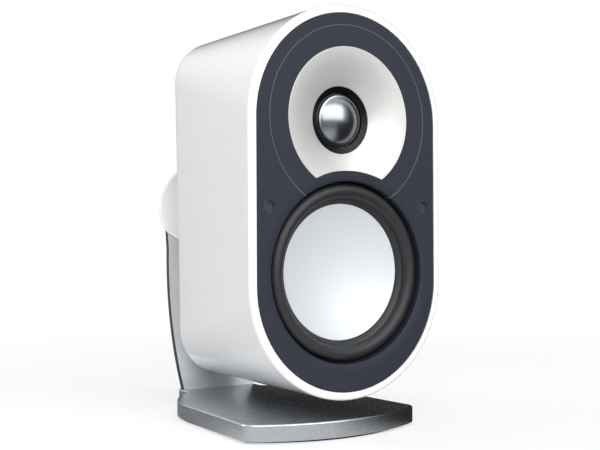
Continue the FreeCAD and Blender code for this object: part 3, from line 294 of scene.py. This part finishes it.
def addRoughness(tree, shader, level, low, high):
    # The gloss wanders with the same pattern
    spread = addNode(tree, "ShaderNodeMapRange", {"To Min": low, "To Max": high}, {"Value": level})
    tree.links.new(spread.outputs["Result"], shader.inputs["Roughness"])


def paintOver(tree, shader, mask, colour):
    # A second colour over the first where the mask is 1
    under = shader.inputs["Base Color"].links[0].from_socket
    paint = addNode(tree, "ShaderNodeMix", {"data_type": "RGBA", 7: toLinear(colour)}, {0: mask, 6: under})
    tree.links.new(paint.outputs[2], shader.inputs["Base Color"])


def lacquer():
    # Sprayed and polished lacquer: white, under a clear gloss with a trace of orange peel, whose
    # waves are 9 mm apart
    material, tree, shader = newMaterial("polished white lacquer", "#f2f3f3", Roughness=0.32,
                                         Coat_Weight=1.0, Coat_Roughness=0.035, IOR=1.5)
    level = addGrain(tree, shader, 9.0, 0.001, detail=1.0)
    addMottle(tree, shader, level, "#f0f1f1", "#f4f5f5")
    return material


# the radius, width and colour of a painted highlight along the baffle's round seam
seamHighlight = {"radius": 48.35, "width": 0.5, "colour": "#5a5d68"}


def bafflePlastic():
    # Moulded ABS with a spark-eroded texture: slate grey and matt. The pits of a real one are finer
    # than 0.7 mm, and are drawn that coarse so that they show
    material, tree, shader = newMaterial("textured grey ABS", "#2a2d37", Roughness=0.62, IOR=1.45,
                                         Specular_IOR_Level=0.3)
    level = addGrain(tree, shader, 0.7, 0.05, detail=4.0)
    addMottle(tree, shader, level, "#272a34", "#2d303b")
    # a painted highlight: a pale line along the round seam. It is
    # where the distance from the tweeter's axis is the seam's radius
    place = addNode(tree, "ShaderNodeTexCoord").outputs["Object"]
    flat = addNode(tree, "ShaderNodeVectorMath", {"operation": "MULTIPLY", 1: (1, 0, 1)}, {0: place})
    toAxis = {"operation": "DISTANCE", 1: (0, 0, tweeterZ)}
    away = addNode(tree, "ShaderNodeVectorMath", toAxis, {0: flat.outputs["Vector"]})
    onSeam = {"operation": "COMPARE", 1: seamHighlight["radius"] * mm, 2: seamHighlight["width"] / 2 * mm}
    line = addNode(tree, "ShaderNodeMath", onSeam, {0: away.outputs["Value"]})
    paintOver(tree, shader, line.outputs[0], seamHighlight["colour"])
    return material


def moulded(name, low, high, roughness, size=0.5, height=0.02, **settings):
    # Plain moulded or dipped surfaces: two near shades and a fine grain
    material, tree, shader = newMaterial(name, low, Roughness=roughness, **settings)
    level = addGrain(tree, shader, size, height)
    addMottle(tree, shader, level, low, high)
    return material


def satinMetal(name, low, high, roughness, size=0.35, height=0.006, stretch=(1, 1, 1), metallic=1.0,
               spread=0.05):
    # Blasted, painted or drawn metal: a fine even grain that breaks up the reflections
    material, tree, shader = newMaterial(name, low, Metallic=metallic, Roughness=roughness)
    level = addGrain(tree, shader, size, height, stretch=stretch)
    addMottle(tree, shader, level, low, high)
    addRoughness(tree, shader, level, roughness - spread, roughness + spread)
    return material


# painted shade: where the plate's normal points this far along x, its sides take this dark colour
paintedEdgeShade = {"facing": 0.8, "colour": "#3e4044"}


def platePaint():
    # Silver paint on both faces of a bent plate: pale, and half a mirror. Its narrow sides, which
    # face along x, get a dark colour that is painted shade
    material = satinMetal("pale silver-painted plate", "#d9dbde", "#e2e4e6", 0.3, metallic=0.7)
    tree = material.node_tree
    facing = addNode(tree, "ShaderNodeTexCoord").outputs["Normal"]
    either = addNode(tree, "ShaderNodeVectorMath", {"operation": "ABSOLUTE"}, {0: facing})
    along = addNode(tree, "ShaderNodeSeparateXYZ", {}, {0: either.outputs["Vector"]})
    beyond = {"operation": "GREATER_THAN", 1: paintedEdgeShade["facing"]}
    side = addNode(tree, "ShaderNodeMath", beyond, {0: along.outputs["X"]})
    # painted shade over the narrow sides
    paintOver(tree, tree.nodes["Principled BSDF"], side.outputs[0], paintedEdgeShade["colour"])
    return material


materials = {
    "lacquered_board": lacquer(),
    "textured_plastic": bafflePlastic(),
    # moulded nylon: a shade off the plate, with a soft sheen
    "grille_cups": moulded("slate moulded nylon", "#2c2e37", "#32343e", 0.55),
    # moulded nylon: near black, half matt
    "black_trim": moulded("black moulded nylon", "#0e0f10", "#17181a", 0.45),
    # spun aluminium under a milky anodised film: pale and satin, hardly a mirror
    "cone_metal": satinMetal("anodised aluminium cone", "#d5d8dc", "#dde0e4", 0.55, size=0.4, height=0.004,
                             metallic=0.25),
    # moulded butyl rubber: charcoal, dull, with one wide highlight along the roll
    "surround_rubber": moulded("butyl rubber", "#1f2022", "#27282b", 0.52, size=1.2, height=0.01),
    # pressed steel under baked enamel: black with a faint sheen
    "basket_steel": moulded("black enamel on steel", "#060607", "#0b0b0c", 0.5, Specular_IOR_Level=0.3),
    # wound enamelled wire: warm copper in fine rings round the axis
    "coil_copper": satinMetal("enamelled copper wire", "#a4582c", "#c27a45", 0.35, size=0.6, height=0.1,
                              stretch=(1, 6, 1)),
    # woven cotton stiffened with resin: ochre and matt, with coarse threads
    "spider_cloth": moulded("resin-dipped cotton", "#a8863d", "#c09c50", 0.8, size=0.6, height=0.1),
    # pressed and ground ceramic: near black and dull
    "ferrite": moulded("ground ferrite", "#222326", "#2c2d30", 0.55, size=0.8, height=0.03),
    # turned steel with bright zinc: grey, a blurred mirror
    "motor_steel": satinMetal("zinc-plated steel", "#a9abad", "#bcbec0", 0.34),
    # rolled screws with bright zinc: a little darker and shinier than the turned steel
    "zinc_screws": satinMetal("zinc-plated screw steel", "#9a9c9f", "#b4b6b8", 0.3),
    # pearl paint on a moulded horn: warm off-white with broad soft highlights
    "waveguide_pearl": satinMetal("pearl-painted horn", "#cfcfcc", "#d8d8d5", 0.5, metallic=0.55),
    # polished nylon: black, with a low highlight
    "bezel_black": moulded("black polished nylon", "#050506", "#090a0a", 0.33, size=2.0, height=0.002,
                           Specular_IOR_Level=0.22),
    # pressed and anodised aluminium: grey, and nearly a mirror
    "dome_metal": satinMetal("anodised dome aluminium", "#8e9297", "#979ba0", 0.25, size=0.3, height=0.001),
    # cloth under a sticky dope: black with a wet shine
    "dome_surround": moulded("doped cloth roll", "#141415", "#1c1c1e", 0.4),
    # die-cast aluminium left bare: grey and dull
    "sink_aluminium": satinMetal("cast heat-sink aluminium", "#8c8f93", "#9da0a3", 0.45),
    # silver paint on a casting: pale grey metal that blurs what it mirrors
    "stand_silver": satinMetal("silver-painted casting", "#b8bbc0", "#c2c5c9", 0.27),
    "upright_silver": platePaint(),
    # baked powder: white, half matt, with a fine ripple
    "hub_white": moulded("white powder coat", "#eff0f0", "#f4f5f5", 0.45, size=0.8, height=0.01),
    # turned brass: yellow, with fine rings
    "insert_brass": satinMetal("turned brass", "#b8924a", "#caa45c", 0.25, stretch=(1, 8, 1)),
    # moulded polycarbonate, red and black: deep colour with a sharp gloss
    "cap_red": moulded("red polycarbonate", "#98100f", "#a81513", 0.18),
    "cap_black": moulded("black polycarbonate", "#0a0a0b", "#111112", 0.18),
    # pressed fibre board: brown and matt
    "circuit_board": moulded("pressed board", "#4e3619", "#5e4322", 0.6),
    # wound film and shrunk sleeve: smooth, with a plastic gloss
    "capacitor_sleeve": moulded("blue film wrap", "#1a2a63", "#223370", 0.3),
    "capacitor_can": moulded("black shrink sleeve", "#141417", "#1c1c20", 0.3),
    # cast cement: cream and chalky
    "resistor_body": moulded("cast cement", "#d9d6cb", "#e4e1d7", 0.8),
    # carded polyester: off-white, in soft tufts 3 mm across
    "wadding": moulded("polyester fibre", "#cfcdc5", "#e2e0d9", 0.95, size=3.0, height=0.8),
}
for part in frame["record"]["subparts"]:
    mesh = nodes[part["node"]].data
    mesh.materials.clear()
    mesh.materials.append(materials[part["material_slot"]])
print("materials on the carried-over pieces")

cabinet = {
    "width": 120.5, "height": 204.0, "depth": 150.0, "backWidth": 51.5, "backLean": 1.9,
    "backRound": 12.0, "frontRound": 2.2, "rim": 4.25, "pocketDepth": 8.0, "ledge": 2.0,
    "innerDepth": 145.0, "innerHalf": 20.75, "innerTall": 95.5,
    "bossRadius": 13.0, "bossStart": 134.0, "bossEnd": 152.5,
    "plateDepth": 149.5, "plateHalf": 14.35, "plateTall": 30.15, "cupHalf": 12.55, "cupTall": 23.25,
    "pocketRound": ((0.0, 0.3), (0.09, 0.09), (0.3, 0.0)),  # each a depth and how far outwards
    "past": 9.0,  # how far the cutting tools reach past the wall
}


def cabinetRow(depth, inset):
    # The cabinet narrows and leans evenly from front to back
    share = depth / cabinet["depth"]
    half = cabinet["width"] / 2 - (cabinet["width"] - cabinet["backWidth"]) / 2 * share - inset
    return depth, half, cabinet["height"] / 2 - inset, cabinet["backLean"] * share


def cabinetMesh():
    # One profile, from the middle of the back out over its round edge, forward along the side,
    # over the front rim and into the pocket, carried round the cabinet's slot outline. Each round
    # edge is a quarter circle: radius times sin of the angle along, radius times 1 - cos inwards
    c = cabinet
    backTurn = np.radians(np.linspace(90, 0, 17))
    frontTurn = np.radians(np.linspace(0, 90, 9))
    back, front = c["backRound"], c["frontRound"]
    straightEnd = c["depth"] - back
    rows = [cabinetRow(straightEnd + back * np.sin(a), back * (1 - np.cos(a))) for a in backTurn]
    rows += [cabinetRow(depth, 0) for depth in np.linspace(straightEnd, front, 26)[1:-1]]
    rows += [cabinetRow(front * (1 - np.sin(a)), front * (1 - np.cos(a))) for a in frontTurn]
    mouthHalf, mouthTall = c["width"] / 2 - c["rim"], c["height"] / 2 - c["rim"]
    for depth, out in c["pocketRound"]:
        rows.append((depth, mouthHalf + out, mouthTall + out, 0))
    rows.append((c["pocketDepth"], mouthHalf, mouthTall, 0))
    rows.append((c["pocketDepth"], mouthHalf - c["ledge"], mouthTall - c["ledge"], 0))
    rows.append((c["innerDepth"], c["innerHalf"], c["innerTall"], c["backLean"]))
    mesh = gridMesh("cabinet_finished", stadiums(rows, cabinetZ), capped=True)
    boss = drum(c["bossRadius"], c["bossStart"], c["bossEnd"], hubZ)
    mesh = carve(mesh, [boss], "UNION")
    # the terminals' recess: a shallow seat for the plate's flange, and a hole for its dish
    near, far = c["innerDepth"] - c["past"], c["depth"] + c["past"]
    seat = [(depth, c["plateHalf"], c["plateTall"], 0) for depth in (c["plateDepth"], far)]
    dish = [(depth, c["cupHalf"], c["cupTall"], 0) for depth in (near, far)]
    tools = [gridMesh("tool", stadiums(shape, terminalZ, 24, 4), capped=True) for shape in (seat, dish)]
    return carve(mesh, tools)


addPiece(cabinetMesh(), "cabinet", materials["lacquered_board"], ["cabinet_shell"])
print("cabinet")

baffle = {
    "half": 55.85, "tall": 97.6, "thick": 7.2, "edge": 0.9,
    "wooferHole": 47.2, "coveRadius": 52.4, "coveDepth": 1.5,
    "throatRadius": 37.55, "stepRadius": 39.95, "stepDepth": 3.05,
    "seamRadius": 48.6, "seamWidth": 0.5, "seamDepth": 0.2,
    "socketX": 48.6, "socketRadius": 3.65, "socketDepth": 2.2, "socketDrop": 2.2,
    "past": 1.0,  # how far the cutting tools reach past the plate
}


def baffleMesh():
    # A slot-shaped plate with a rounded edge, cut by turned tools
    b = baffle
    turn = np.radians(np.linspace(0, 90, 7))
    rows = [(b["thick"], b["half"], b["tall"], 0)]
    for a in turn:
        inset = b["edge"] * (1 - np.cos(a))
        rows.append((b["edge"] * (1 - np.sin(a)), b["half"] - inset, b["tall"] - inset, 0))
    plate = gridMesh("front_plate_finished", stadiums(rows, cabinetZ), capped=True)
    # the mouth rolls over from the face into the hole on a quarter of an ellipse
    near, far = -b["past"], b["thick"] + b["past"]
    roll = np.radians(np.linspace(0, 90, 14))
    reach = b["coveRadius"] - b["wooferHole"]
    mouth = np.stack([b["coveDepth"] * (1 - np.cos(roll)), b["coveRadius"] - reach * np.sin(roll)], -1)
    profile = [(near, b["coveRadius"]), mouth, (far, b["wooferHole"])]
    hole = gridMesh("tool", turned(profile, wooferZ), capped=True)
    # the tweeter's opening stops at the ring of plate round the woofer
    keep = drum(b["coveRadius"], 3 * near, b["thick"] + 3 * b["past"], wooferZ, segments=192)
    throat = carve(drum(b["throatRadius"], near, far, tweeterZ, segments=192), [keep])
    step = carve(drum(b["stepRadius"], b["stepDepth"], far, tweeterZ, segments=192), [keep])
    inner = b["seamRadius"] - b["seamWidth"]
    bottom = (b["seamDepth"], b["seamRadius"] - b["seamWidth"] / 2)
    groove = [(near, inner), (0, inner), bottom, (0, b["seamRadius"]), (near, b["seamRadius"])]
    seam = gridMesh("tool", turned(groove, tweeterZ), ringed=True)
    socketZ = cabinetZ - b["socketDrop"] * mm
    places = [side * b["socketX"] * mm for side in (-1, 1)]
    sockets = [drum(b["socketRadius"], near, b["socketDepth"], socketZ, x, 48) for x in places]
    return carve(plate, [hole, throat, step, seam, *sockets])


cup = {"radius": 3.6, "bore": 2.9, "depth": 1.5, "near": 0.05, "back": 2.2, "lip": 0.25}


def cupsMesh():
    # Two shallow round cups, each a turned profile from its rounded rim down to its floor
    c = cup
    corners = [(c["back"], c["radius"]), (c["near"], c["radius"]), (c["near"], c["bore"]),
               (c["depth"], c["bore"]), (c["depth"], 0)]
    rim = rounded(corners, c["lip"])
    socketZ = cabinetZ - baffle["socketDrop"] * mm
    sides = [turned([(c["back"], 0), rim], socketZ, side * baffle["socketX"] * mm, 64) for side in (-1, 1)]
    meshes = [gridMesh("grille_cups_finished", points, sharpAbove=50) for points in sides]
    both = bmesh.new()
    for mesh in meshes:
        both.from_mesh(mesh)
    both.to_mesh(meshes[0])
    both.free()
    return finished(meshes[0], 50)


addPiece(cupsMesh(), "cabinet", materials["grille_cups"], ["grille_sockets"])
addPiece(baffleMesh(), "cabinet", materials["textured_plastic"], ["front_baffle"])
print("front plate")

cone = {
    "edgeDepth": 8.2, "radius": 35.5, "dish": 10.5, "thick": 0.8,
    "edge": 0.5, "edgeSteps": (0.3, 0.12, 0.0), "turnBack": 0.12,
}
surround = {
    "innerDepth": 8.2, "innerRadius": 35.65, "footDepth": 6.5, "bendDepth": 5.2,
    "rollInner": 38.8, "rollOuter": 45.7, "landDepth": 7.1, "landOuter": 46.6,
    "rubber": 0.9, "soft": 0.7, "halfSteps": 24,
}


def coneMesh():
    # A shallow dish: part of a sphere whose deepest point is on the axis, with its edge turned back.
    # The sphere's radius is (edge radius squared plus dish squared) over twice the dish
    c = cone
    sphere = (c["radius"] ** 2 + c["dish"] ** 2) / (2 * c["dish"])
    edge = c["radius"] - np.array(c["edgeSteps"])
    radius = np.concatenate([np.linspace(0, c["radius"] - c["edge"], 40), edge])
    depth = c["edgeDepth"] + c["dish"] - (sphere - np.sqrt(sphere ** 2 - radius ** 2))
    depth[-1] += c["turnBack"]
    face = np.stack([depth, radius], -1)
    back = face[::-1] + (c["thick"], 0)
    return gridMesh("woofer_cone_finished", turned([face, back], wooferZ), sharpAbove=50)


def surroundHalves():
    # A tall half roll of rubber: a sloped land from the cone, a half circle, and a land that the
    # basket holds. It is split at its crown into two rings
    s = surround
    middle, radius = (s["rollInner"] + s["rollOuter"]) / 2, (s["rollOuter"] - s["rollInner"]) / 2
    bend, rubber, soft, crown = s["bendDepth"], s["rubber"], s["soft"], s["halfSteps"]
    slope = [(s["innerDepth"], s["innerRadius"]), (s["footDepth"], s["rollInner"]), (bend, s["rollInner"])]
    land = [(bend, s["rollOuter"]), (s["landDepth"], s["rollOuter"]), (s["landDepth"], s["landOuter"])]
    inner, outer = rounded(slope, soft), rounded(land, soft)
    front = arc((bend, middle), radius, 270, 90, 2 * crown + 1)
    back = arc((bend, middle), radius - rubber, 270, 90, 2 * crown + 1)
    slopeBack = [(s["footDepth"] + rubber, s["rollInner"] + rubber),
                 (s["innerDepth"] + rubber, s["innerRadius"])]
    landBack = [(s["landDepth"] + rubber, s["landOuter"]), (s["landDepth"] + rubber, s["rollOuter"] - rubber)]
    innerRing = [inner, front[1:crown + 1], back[crown::-1], slopeBack]
    outerRing = [front[crown:-1], outer, landBack, back[:crown - 1:-1]]
    return innerRing, outerRing, bend - radius


def addSurround():
    # Each half of the roll becomes a ring of rubber in the scene, in place of the CAD surround
    s = surround
    innerRing, outerRing, crown = surroundHalves()
    halves = (("inner", innerRing, s["innerDepth"]), ("outer", outerRing, s["landDepth"] + s["rubber"]))
    for name, ring, foot in halves:
        mesh = gridMesh(f"surround_{name}_roll", turned(ring, wooferZ), ringed=True, sharpAbove=70)
        piece = bpy.data.objects.new(mesh.name, mesh)
        scene.collection.objects.link(piece)
        piece.data.materials.append(materials["surround_rubber"])
        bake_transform(piece)
        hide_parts("woofer_surround")


addPiece(coneMesh(), "woofer", materials["cone_metal"], ["woofer_cone"])
addSurround()
print("woofer")

horn = {
    "radius": 37.4, "throatRadius": 17.7, "throatDepth": 8.1, "bulge": 1.5, "wall": 2.2, "edge": 0.35,
    "lipClear": 1.2,  # where the flare starts, in lip radii
    "heelFront": 0.4, "heelBack": 1.0,  # behind the wall, at the outer edge
    "biteRadius": 52.55, "biteSpan": (-4, 20),
}
dome = {
    "radius": 12.5, "rise": 5.0, "baseDepth": 9.2, "wall": 0.3,
    "rimRadius": 13.0, "rimThick": 0.25, "rimRound": 0.1, "skirtEnd": 10.75,
}
bezel = {"outer": 17.55, "inner": 14.3, "near": 8.2, "slope": 1.2, "back": 10.8, "lip": 0.3}


def hornMesh():
    # A flare turned about the tweeter's axis, stopped at the ring round the woofer. The flare is an
    # arc that bulges off the straight line from its mouth to its throat
    h = horn
    flare = bowed((0.0, h["radius"]), (h["throatDepth"], h["throatRadius"]), -h["bulge"], 40)
    lip = arc((h["edge"], h["radius"] - h["edge"]), h["edge"], 90, 180, 6)
    flare = flare[np.hypot(flare[:, 0], flare[:, 1] - h["radius"]) > h["lipClear"] * h["edge"]]
    back = flare[::-1] + (h["wall"], 0)
    throat = (h["throatDepth"] + h["wall"], h["throatRadius"])
    heel = [(h["wall"] + h[end], h["radius"]) for end in ("heelFront", "heelBack")]
    profile = [heel[0], lip, flare, throat, back, heel[1]]
    mesh = gridMesh("waveguide_finished", turned(profile, tweeterZ, segments=256), ringed=True)
    bite = drum(h["biteRadius"], *h["biteSpan"], wooferZ, segments=256)
    return carve(mesh, [bite])


def domeMesh():
    # A cap of a sphere with a thin wall, a narrow flat rim round its foot, and a short skirt behind
    # the rim. The sphere's radius is (foot radius squared plus rise squared) over twice the rise
    d = dome
    sphere = (d["radius"] ** 2 + d["rise"] ** 2) / (2 * d["rise"])
    radius = np.linspace(0, d["radius"], 40)
    depth = d["baseDepth"] - d["rise"] + sphere - np.sqrt(sphere ** 2 - radius ** 2)
    face = np.stack([depth, radius], -1)
    inside = np.stack([depth + d["wall"], radius * (1 - d["wall"] / sphere)], -1)[::-1]
    front, back, soft = d["baseDepth"] - d["rimThick"], d["skirtEnd"], d["rimRound"]
    rim = [(front, d["radius"] - soft), (front, d["rimRadius"] - soft), (front + soft, d["rimRadius"]),
           (back, d["rimRadius"]), (back, d["radius"] - d["wall"])]
    return gridMesh("dome_finished", turned([face[:-1], rim, inside[1:]], tweeterZ), sharpAbove=50)


def bezelMesh():
    # A ring whose face slopes in towards the dome, with rounded lips
    b = bezel
    lip = b["lip"]
    outerLip = arc((b["near"] + lip, b["outer"] - lip), lip, 90, 180, 6)
    innerLip = arc((b["near"] + b["slope"] + lip, b["inner"] + lip), lip, 180, 270, 6)
    profile = [(b["back"], b["outer"]), outerLip, innerLip, (b["back"], b["inner"])]
    return gridMesh("dome_ring_finished", turned(profile, tweeterZ), ringed=True, sharpAbove=50)


addPiece(hornMesh(), "cabinet", materials["waveguide_pearl"], ["waveguide"])
addPiece(domeMesh(), "tweeter", materials["dome_metal"], ["tweeter_dome"])
addPiece(bezelMesh(), "cabinet", materials["bezel_black"], ["tweeter_bezel"])
print("tweeter")

base = {
    "front": -75.35, "back": 75.35, "low": 1.2, "high": 10.0, "edge": 0.9, "inset": 3.0,
    "frontHalf": 54.2, "bow": 16.0, "corner": 7.0, "waistHalf": 50.3, "waist": 9.35,
    "haunchRadius": 56.93, "shoulder": 56.55, "tongueHalf": 25.2, "tongueCorner": 7.0,
    "footRound": ((0.3, 0.0), (0.09, 0.09), (0.0, 0.3)),  # each an inset and a height
}
armEdge, discEdge = 0.35, 0.3  # how much the arm's and the disc's corners are rounded


def baseOutline():
    # Half of the outline runs from the middle of the bowed front, round a corner, along the side,
    # over the haunch and the tongue to the middle of the back. The other half is its mirror image
    b = base
    fore = b["front"] + b["bow"]
    bow = bowed((-b["frontHalf"], fore), (b["frontHalf"], fore), -b["bow"], 121)
    bow = bow[(bow[:, 0] > -0.1) & (bow[:, 0] < b["frontHalf"] - 8)]  # one half, short of its corner
    waist = (b["waistHalf"], b["waist"])
    end = np.degrees(np.arcsin((b["shoulder"] - b["waist"]) / b["haunchRadius"]))
    haunch = arc((b["waistHalf"] - b["haunchRadius"], b["waist"]), b["haunchRadius"], 0, end, 30)
    corner = rounded([bow[-1], (b["frontHalf"], fore), waist], b["corner"], 12)[1:-1]
    tongue = rounded([haunch[-1], (b["tongueHalf"], b["back"]), (0, b["back"])], b["tongueCorner"], 12)[1:]
    half = np.concatenate([bow, corner, haunch, tongue])
    return np.concatenate([half, half[-2:0:-1] * (-1, 1)])


def baseMesh():
    # A flat casting whose top edge is rounded. Each row is the outline moved inwards and lifted:
    # the rounding goes edge times 1 - cos of the angle inwards, and edge times sin - 1 up
    b = base
    outline = baseOutline()
    along = np.roll(outline, -1, 0) - np.roll(outline, 1, 0)
    inward = np.stack([-along[:, 1], along[:, 0]], -1) / np.hypot(*along.T)[:, None]
    turn = np.radians(np.linspace(0, 90, 9))
    rows = [(b["inset"], b["low"])]
    rows += [(inset, b["low"] + lift) for inset, lift in b["footRound"]]
    rows += [(b["edge"] * (1 - np.cos(a)), b["high"] + b["edge"] * (np.sin(a) - 1)) for a in turn]
    rows.append((b["inset"], b["high"]))
    flat = [np.concatenate([outline + inward * inset, np.full((len(outline), 1), z)], 1) for inset, z in rows]
    return gridMesh("base_plate_finished", np.array(flat) * mm, capped=True, sharpAbove=40)


addPiece(baseMesh(), "stand", materials["stand_silver"], ["base_plate"])
addPiece(softened("upright", armEdge), "stand", materials["upright_silver"], ["upright"])
addPiece(softened("swivel_disc", discEdge), "swivel", materials["hub_white"], ["swivel_disc"])
print("stand")

camera = {
    "place": (-0.3320, -0.53435, 0.1090), "aim": (-0.0309, -0.07465, 0.1099), "roll": -0.275,
    "lens": 66.0, "sensor": 36, "clip": (0.01, 50),
}
lamps = {
    # place, width and height in metres, watts
    "front softbox": ((-0.12, -1.07, 0.74), (1.8, 1.1), 17.5),
    "left softbox": ((-0.95, 0.75, 0.50), (0.8, 0.9), 8.0),
    "top softbox": ((0.00, 0.10, 1.20), (1.0, 1.0), 3.0),
}
lampAim = (0.0, -0.02, 0.12)
room = {
    "colour": "#f4f6f8", "fill": 0.4,  # the fill is what matt surfaces get
    "horizon": 0.35, "whiteAbove": 0.6,  # the grey at eye level, and how far up it is white
    "darkWay": (0.95, 0.30, 0.0), "darkFrom": 0.3, "darkTo": 0.75, "dark": 0.03,
}
floor = {
    # spans are in metres, from the object outwards or along x or y
    "reach": 6.0, "colour": "#fafafa",
    "glow": 0.6, "glowSpan": (0.18, 0.6), "farSpan": (0.2, 0.5),
    "bounce": 0.95, "shine": 0.85,
    "rightSpan": (-0.01, 0.07), "rightShine": 0.04, "rearSpan": (-0.08, 0.03), "rearShine": 0.35,
}
times = {"operation": "MULTIPLY"}
greater = {"operation": "MAXIMUM"}


def aimed(place, aim):
    # The turn and place of a lamp or camera that looks at aim
    facing = (Vector(aim) - Vector(place)).to_track_quat("-Z", "Y").to_matrix().to_4x4()
    return Matrix.Translation(place) @ facing


def addCamera():
    c = camera
    data = bpy.data.cameras.new("studio camera")
    data.lens, data.sensor_width = c["lens"], c["sensor"]
    data.clip_start, data.clip_end = c["clip"]
    made = bpy.data.objects.new("studio camera", data)
    made.matrix_world = aimed(c["place"], c["aim"]) @ Matrix.Rotation(math.radians(c["roll"]), 4, "Z")
    scene.collection.objects.link(made)
    scene.camera = made


def addLamps():
    for name, (place, size, power) in lamps.items():
        data = bpy.data.lights.new(name, "AREA")
        data.shape = "RECTANGLE"
        data.size, data.size_y = size
        data.energy = power
        made = bpy.data.objects.new(name, data)
        made.matrix_world = aimed(place, lampAim)
        scene.collection.objects.link(made)


def addWorld():
    # White where it is seen. What lights the object and shows in its gloss is a room that is white
    # overhead, grey at eye level, and dark to the right
    r = room
    world = bpy.data.worlds.new("white studio")
    scene.world = world
    world.use_nodes = True
    tree = world.node_tree
    tree.nodes.clear()
    path = addNode(tree, "ShaderNodeLightPath").outputs
    where = addNode(tree, "ShaderNodeTexCoord").outputs["Generated"]
    height = addNode(tree, "ShaderNodeSeparateXYZ", {}, {0: where}).outputs["Z"]
    upward = softStep(0.0, r["whiteAbove"], r["horizon"], 1.0)
    lift = addNode(tree, "ShaderNodeMapRange", upward, {"Value": height}).outputs["Result"]
    darkWay = {"operation": "DOT_PRODUCT", 1: Vector(r["darkWay"]).normalized()}
    way = addNode(tree, "ShaderNodeVectorMath", darkWay, {0: where}).outputs["Value"]
    rightward = softStep(r["darkFrom"], r["darkTo"], 1.0, r["dark"])
    side = addNode(tree, "ShaderNodeMapRange", rightward, {"Value": way}).outputs["Result"]
    # the dark side shows only in the gloss, and matt surfaces get an even fill from all round
    toGloss = {"Value": path["Is Glossy Ray"], "To Max": side}
    fill = addNode(tree, "ShaderNodeMapRange", {"To Min": r["fill"]}, toGloss).outputs["Result"]
    level = addNode(tree, "ShaderNodeMath", times, {0: lift, 1: fill}).outputs[0]
    lit = addNode(tree, "ShaderNodeBackground", {"Color": toLinear(r["colour"])}, {"Strength": level})
    white = addNode(tree, "ShaderNodeBackground", {"Color": (1, 1, 1, 1), "Strength": 1.0})
    rays = {0: path["Is Camera Ray"], 1: path["Is Transmission Ray"]}
    seen = addNode(tree, "ShaderNodeMath", greater, rays).outputs[0]
    mix = addNode(tree, "ShaderNodeMixShader", {}, {0: seen, 1: lit.outputs[0], 2: white.outputs[0]})
    addNode(tree, "ShaderNodeOutputWorld", {}, {"Surface": mix.outputs[0]})


def addFloor():
    # A pale sweep. It takes the shadow near the object and turns to plain white further out. In
    # gloss it is bright in front and to the left, and falls away behind and to the right
    f = floor
    mesh = bpy.data.meshes.new("studio floor")
    reach = f["reach"]
    mesh.from_pydata([(-reach, -reach, 0), (reach, -reach, 0), (reach, reach, 0), (-reach, reach, 0)],
                     [], [(0, 1, 2, 3)])
    material = bpy.data.materials.new("matt white floor")
    material.use_nodes = True
    tree = material.node_tree
    tree.nodes.clear()
    path = addNode(tree, "ShaderNodeLightPath").outputs
    where = addNode(tree, "ShaderNodeTexCoord").outputs["Object"]
    away = addNode(tree, "ShaderNodeVectorMath", {"operation": "LENGTH"}, {0: where}).outputs["Value"]
    place = addNode(tree, "ShaderNodeSeparateXYZ", {}, {0: where}).outputs
    steps = {
        "right": (place["X"], softStep(*f["rightSpan"], 1.0, f["rightShine"])),
        "rear": (place["Y"], softStep(*f["rearSpan"], 1.0, f["rearShine"])),
        "glow": (away, softStep(*f["glowSpan"], f["glow"], 1.0)),
        "far": (away, softStep(*f["farSpan"], 0.0, 1.0)),
        "strength": (path["Is Glossy Ray"], softStep(0.0, 1.0, 1.0, room["horizon"])),
    }
    level = {name: addNode(tree, "ShaderNodeMapRange", settings, {"Value": source}).outputs["Result"]
             for name, (source, settings) in steps.items()}
    # its paint: bright to camera rays, a little darker to matt surfaces, and shaped in the gloss
    shine = addNode(tree, "ShaderNodeMath", times, {0: level["right"], 1: level["rear"]}).outputs[0]
    shine = addNode(tree, "ShaderNodeMath", {**times, 1: f["shine"]}, {0: shine}).outputs[0]
    shine = addNode(tree, "ShaderNodeMath", times, {0: shine, 1: path["Is Glossy Ray"]}).outputs[0]
    bounce = addNode(tree, "ShaderNodeMath", {**times, 1: f["bounce"]}, {0: path["Is Diffuse Ray"]})
    bright = addNode(tree, "ShaderNodeMath", greater, {0: shine, 1: bounce.outputs[0]}).outputs[0]
    bright = addNode(tree, "ShaderNodeMath", greater, {0: bright, 1: path["Is Camera Ray"]}).outputs[0]
    shades = {"data_type": "RGBA", 6: toLinear("#000000"), 7: toLinear(f["colour"])}
    paint = addNode(tree, "ShaderNodeMix", shades, {0: bright})
    # its own light, which grows outwards
    seen = addNode(tree, "ShaderNodeMath", times, {0: level["glow"], 1: path["Is Camera Ray"]}).outputs[0]
    far = addNode(tree, "ShaderNodeMath", times, {0: level["far"], 1: path["Is Glossy Ray"]}).outputs[0]
    far = addNode(tree, "ShaderNodeMath", times, {0: far, 1: level["right"]}).outputs[0]
    share = addNode(tree, "ShaderNodeMath", greater, {0: seen, 1: far}).outputs[0]
    matt = addNode(tree, "ShaderNodeBsdfDiffuse", {}, {"Color": paint.outputs[2]})
    glow = addNode(tree, "ShaderNodeEmission", {"Color": (1, 1, 1, 1)}, {"Strength": level["strength"]})
    mix = addNode(tree, "ShaderNodeMixShader", {}, {0: share, 1: matt.outputs[0], 2: glow.outputs[0]})
    addNode(tree, "ShaderNodeOutputMaterial", {}, {"Surface": mix.outputs[0]})
    mesh.materials.append(material)
    made = bpy.data.objects.new("studio floor", mesh)
    scene.collection.objects.link(made)


addCamera()
addLamps()
addWorld()
addFloor()
print("camera, lamps, world and floor")
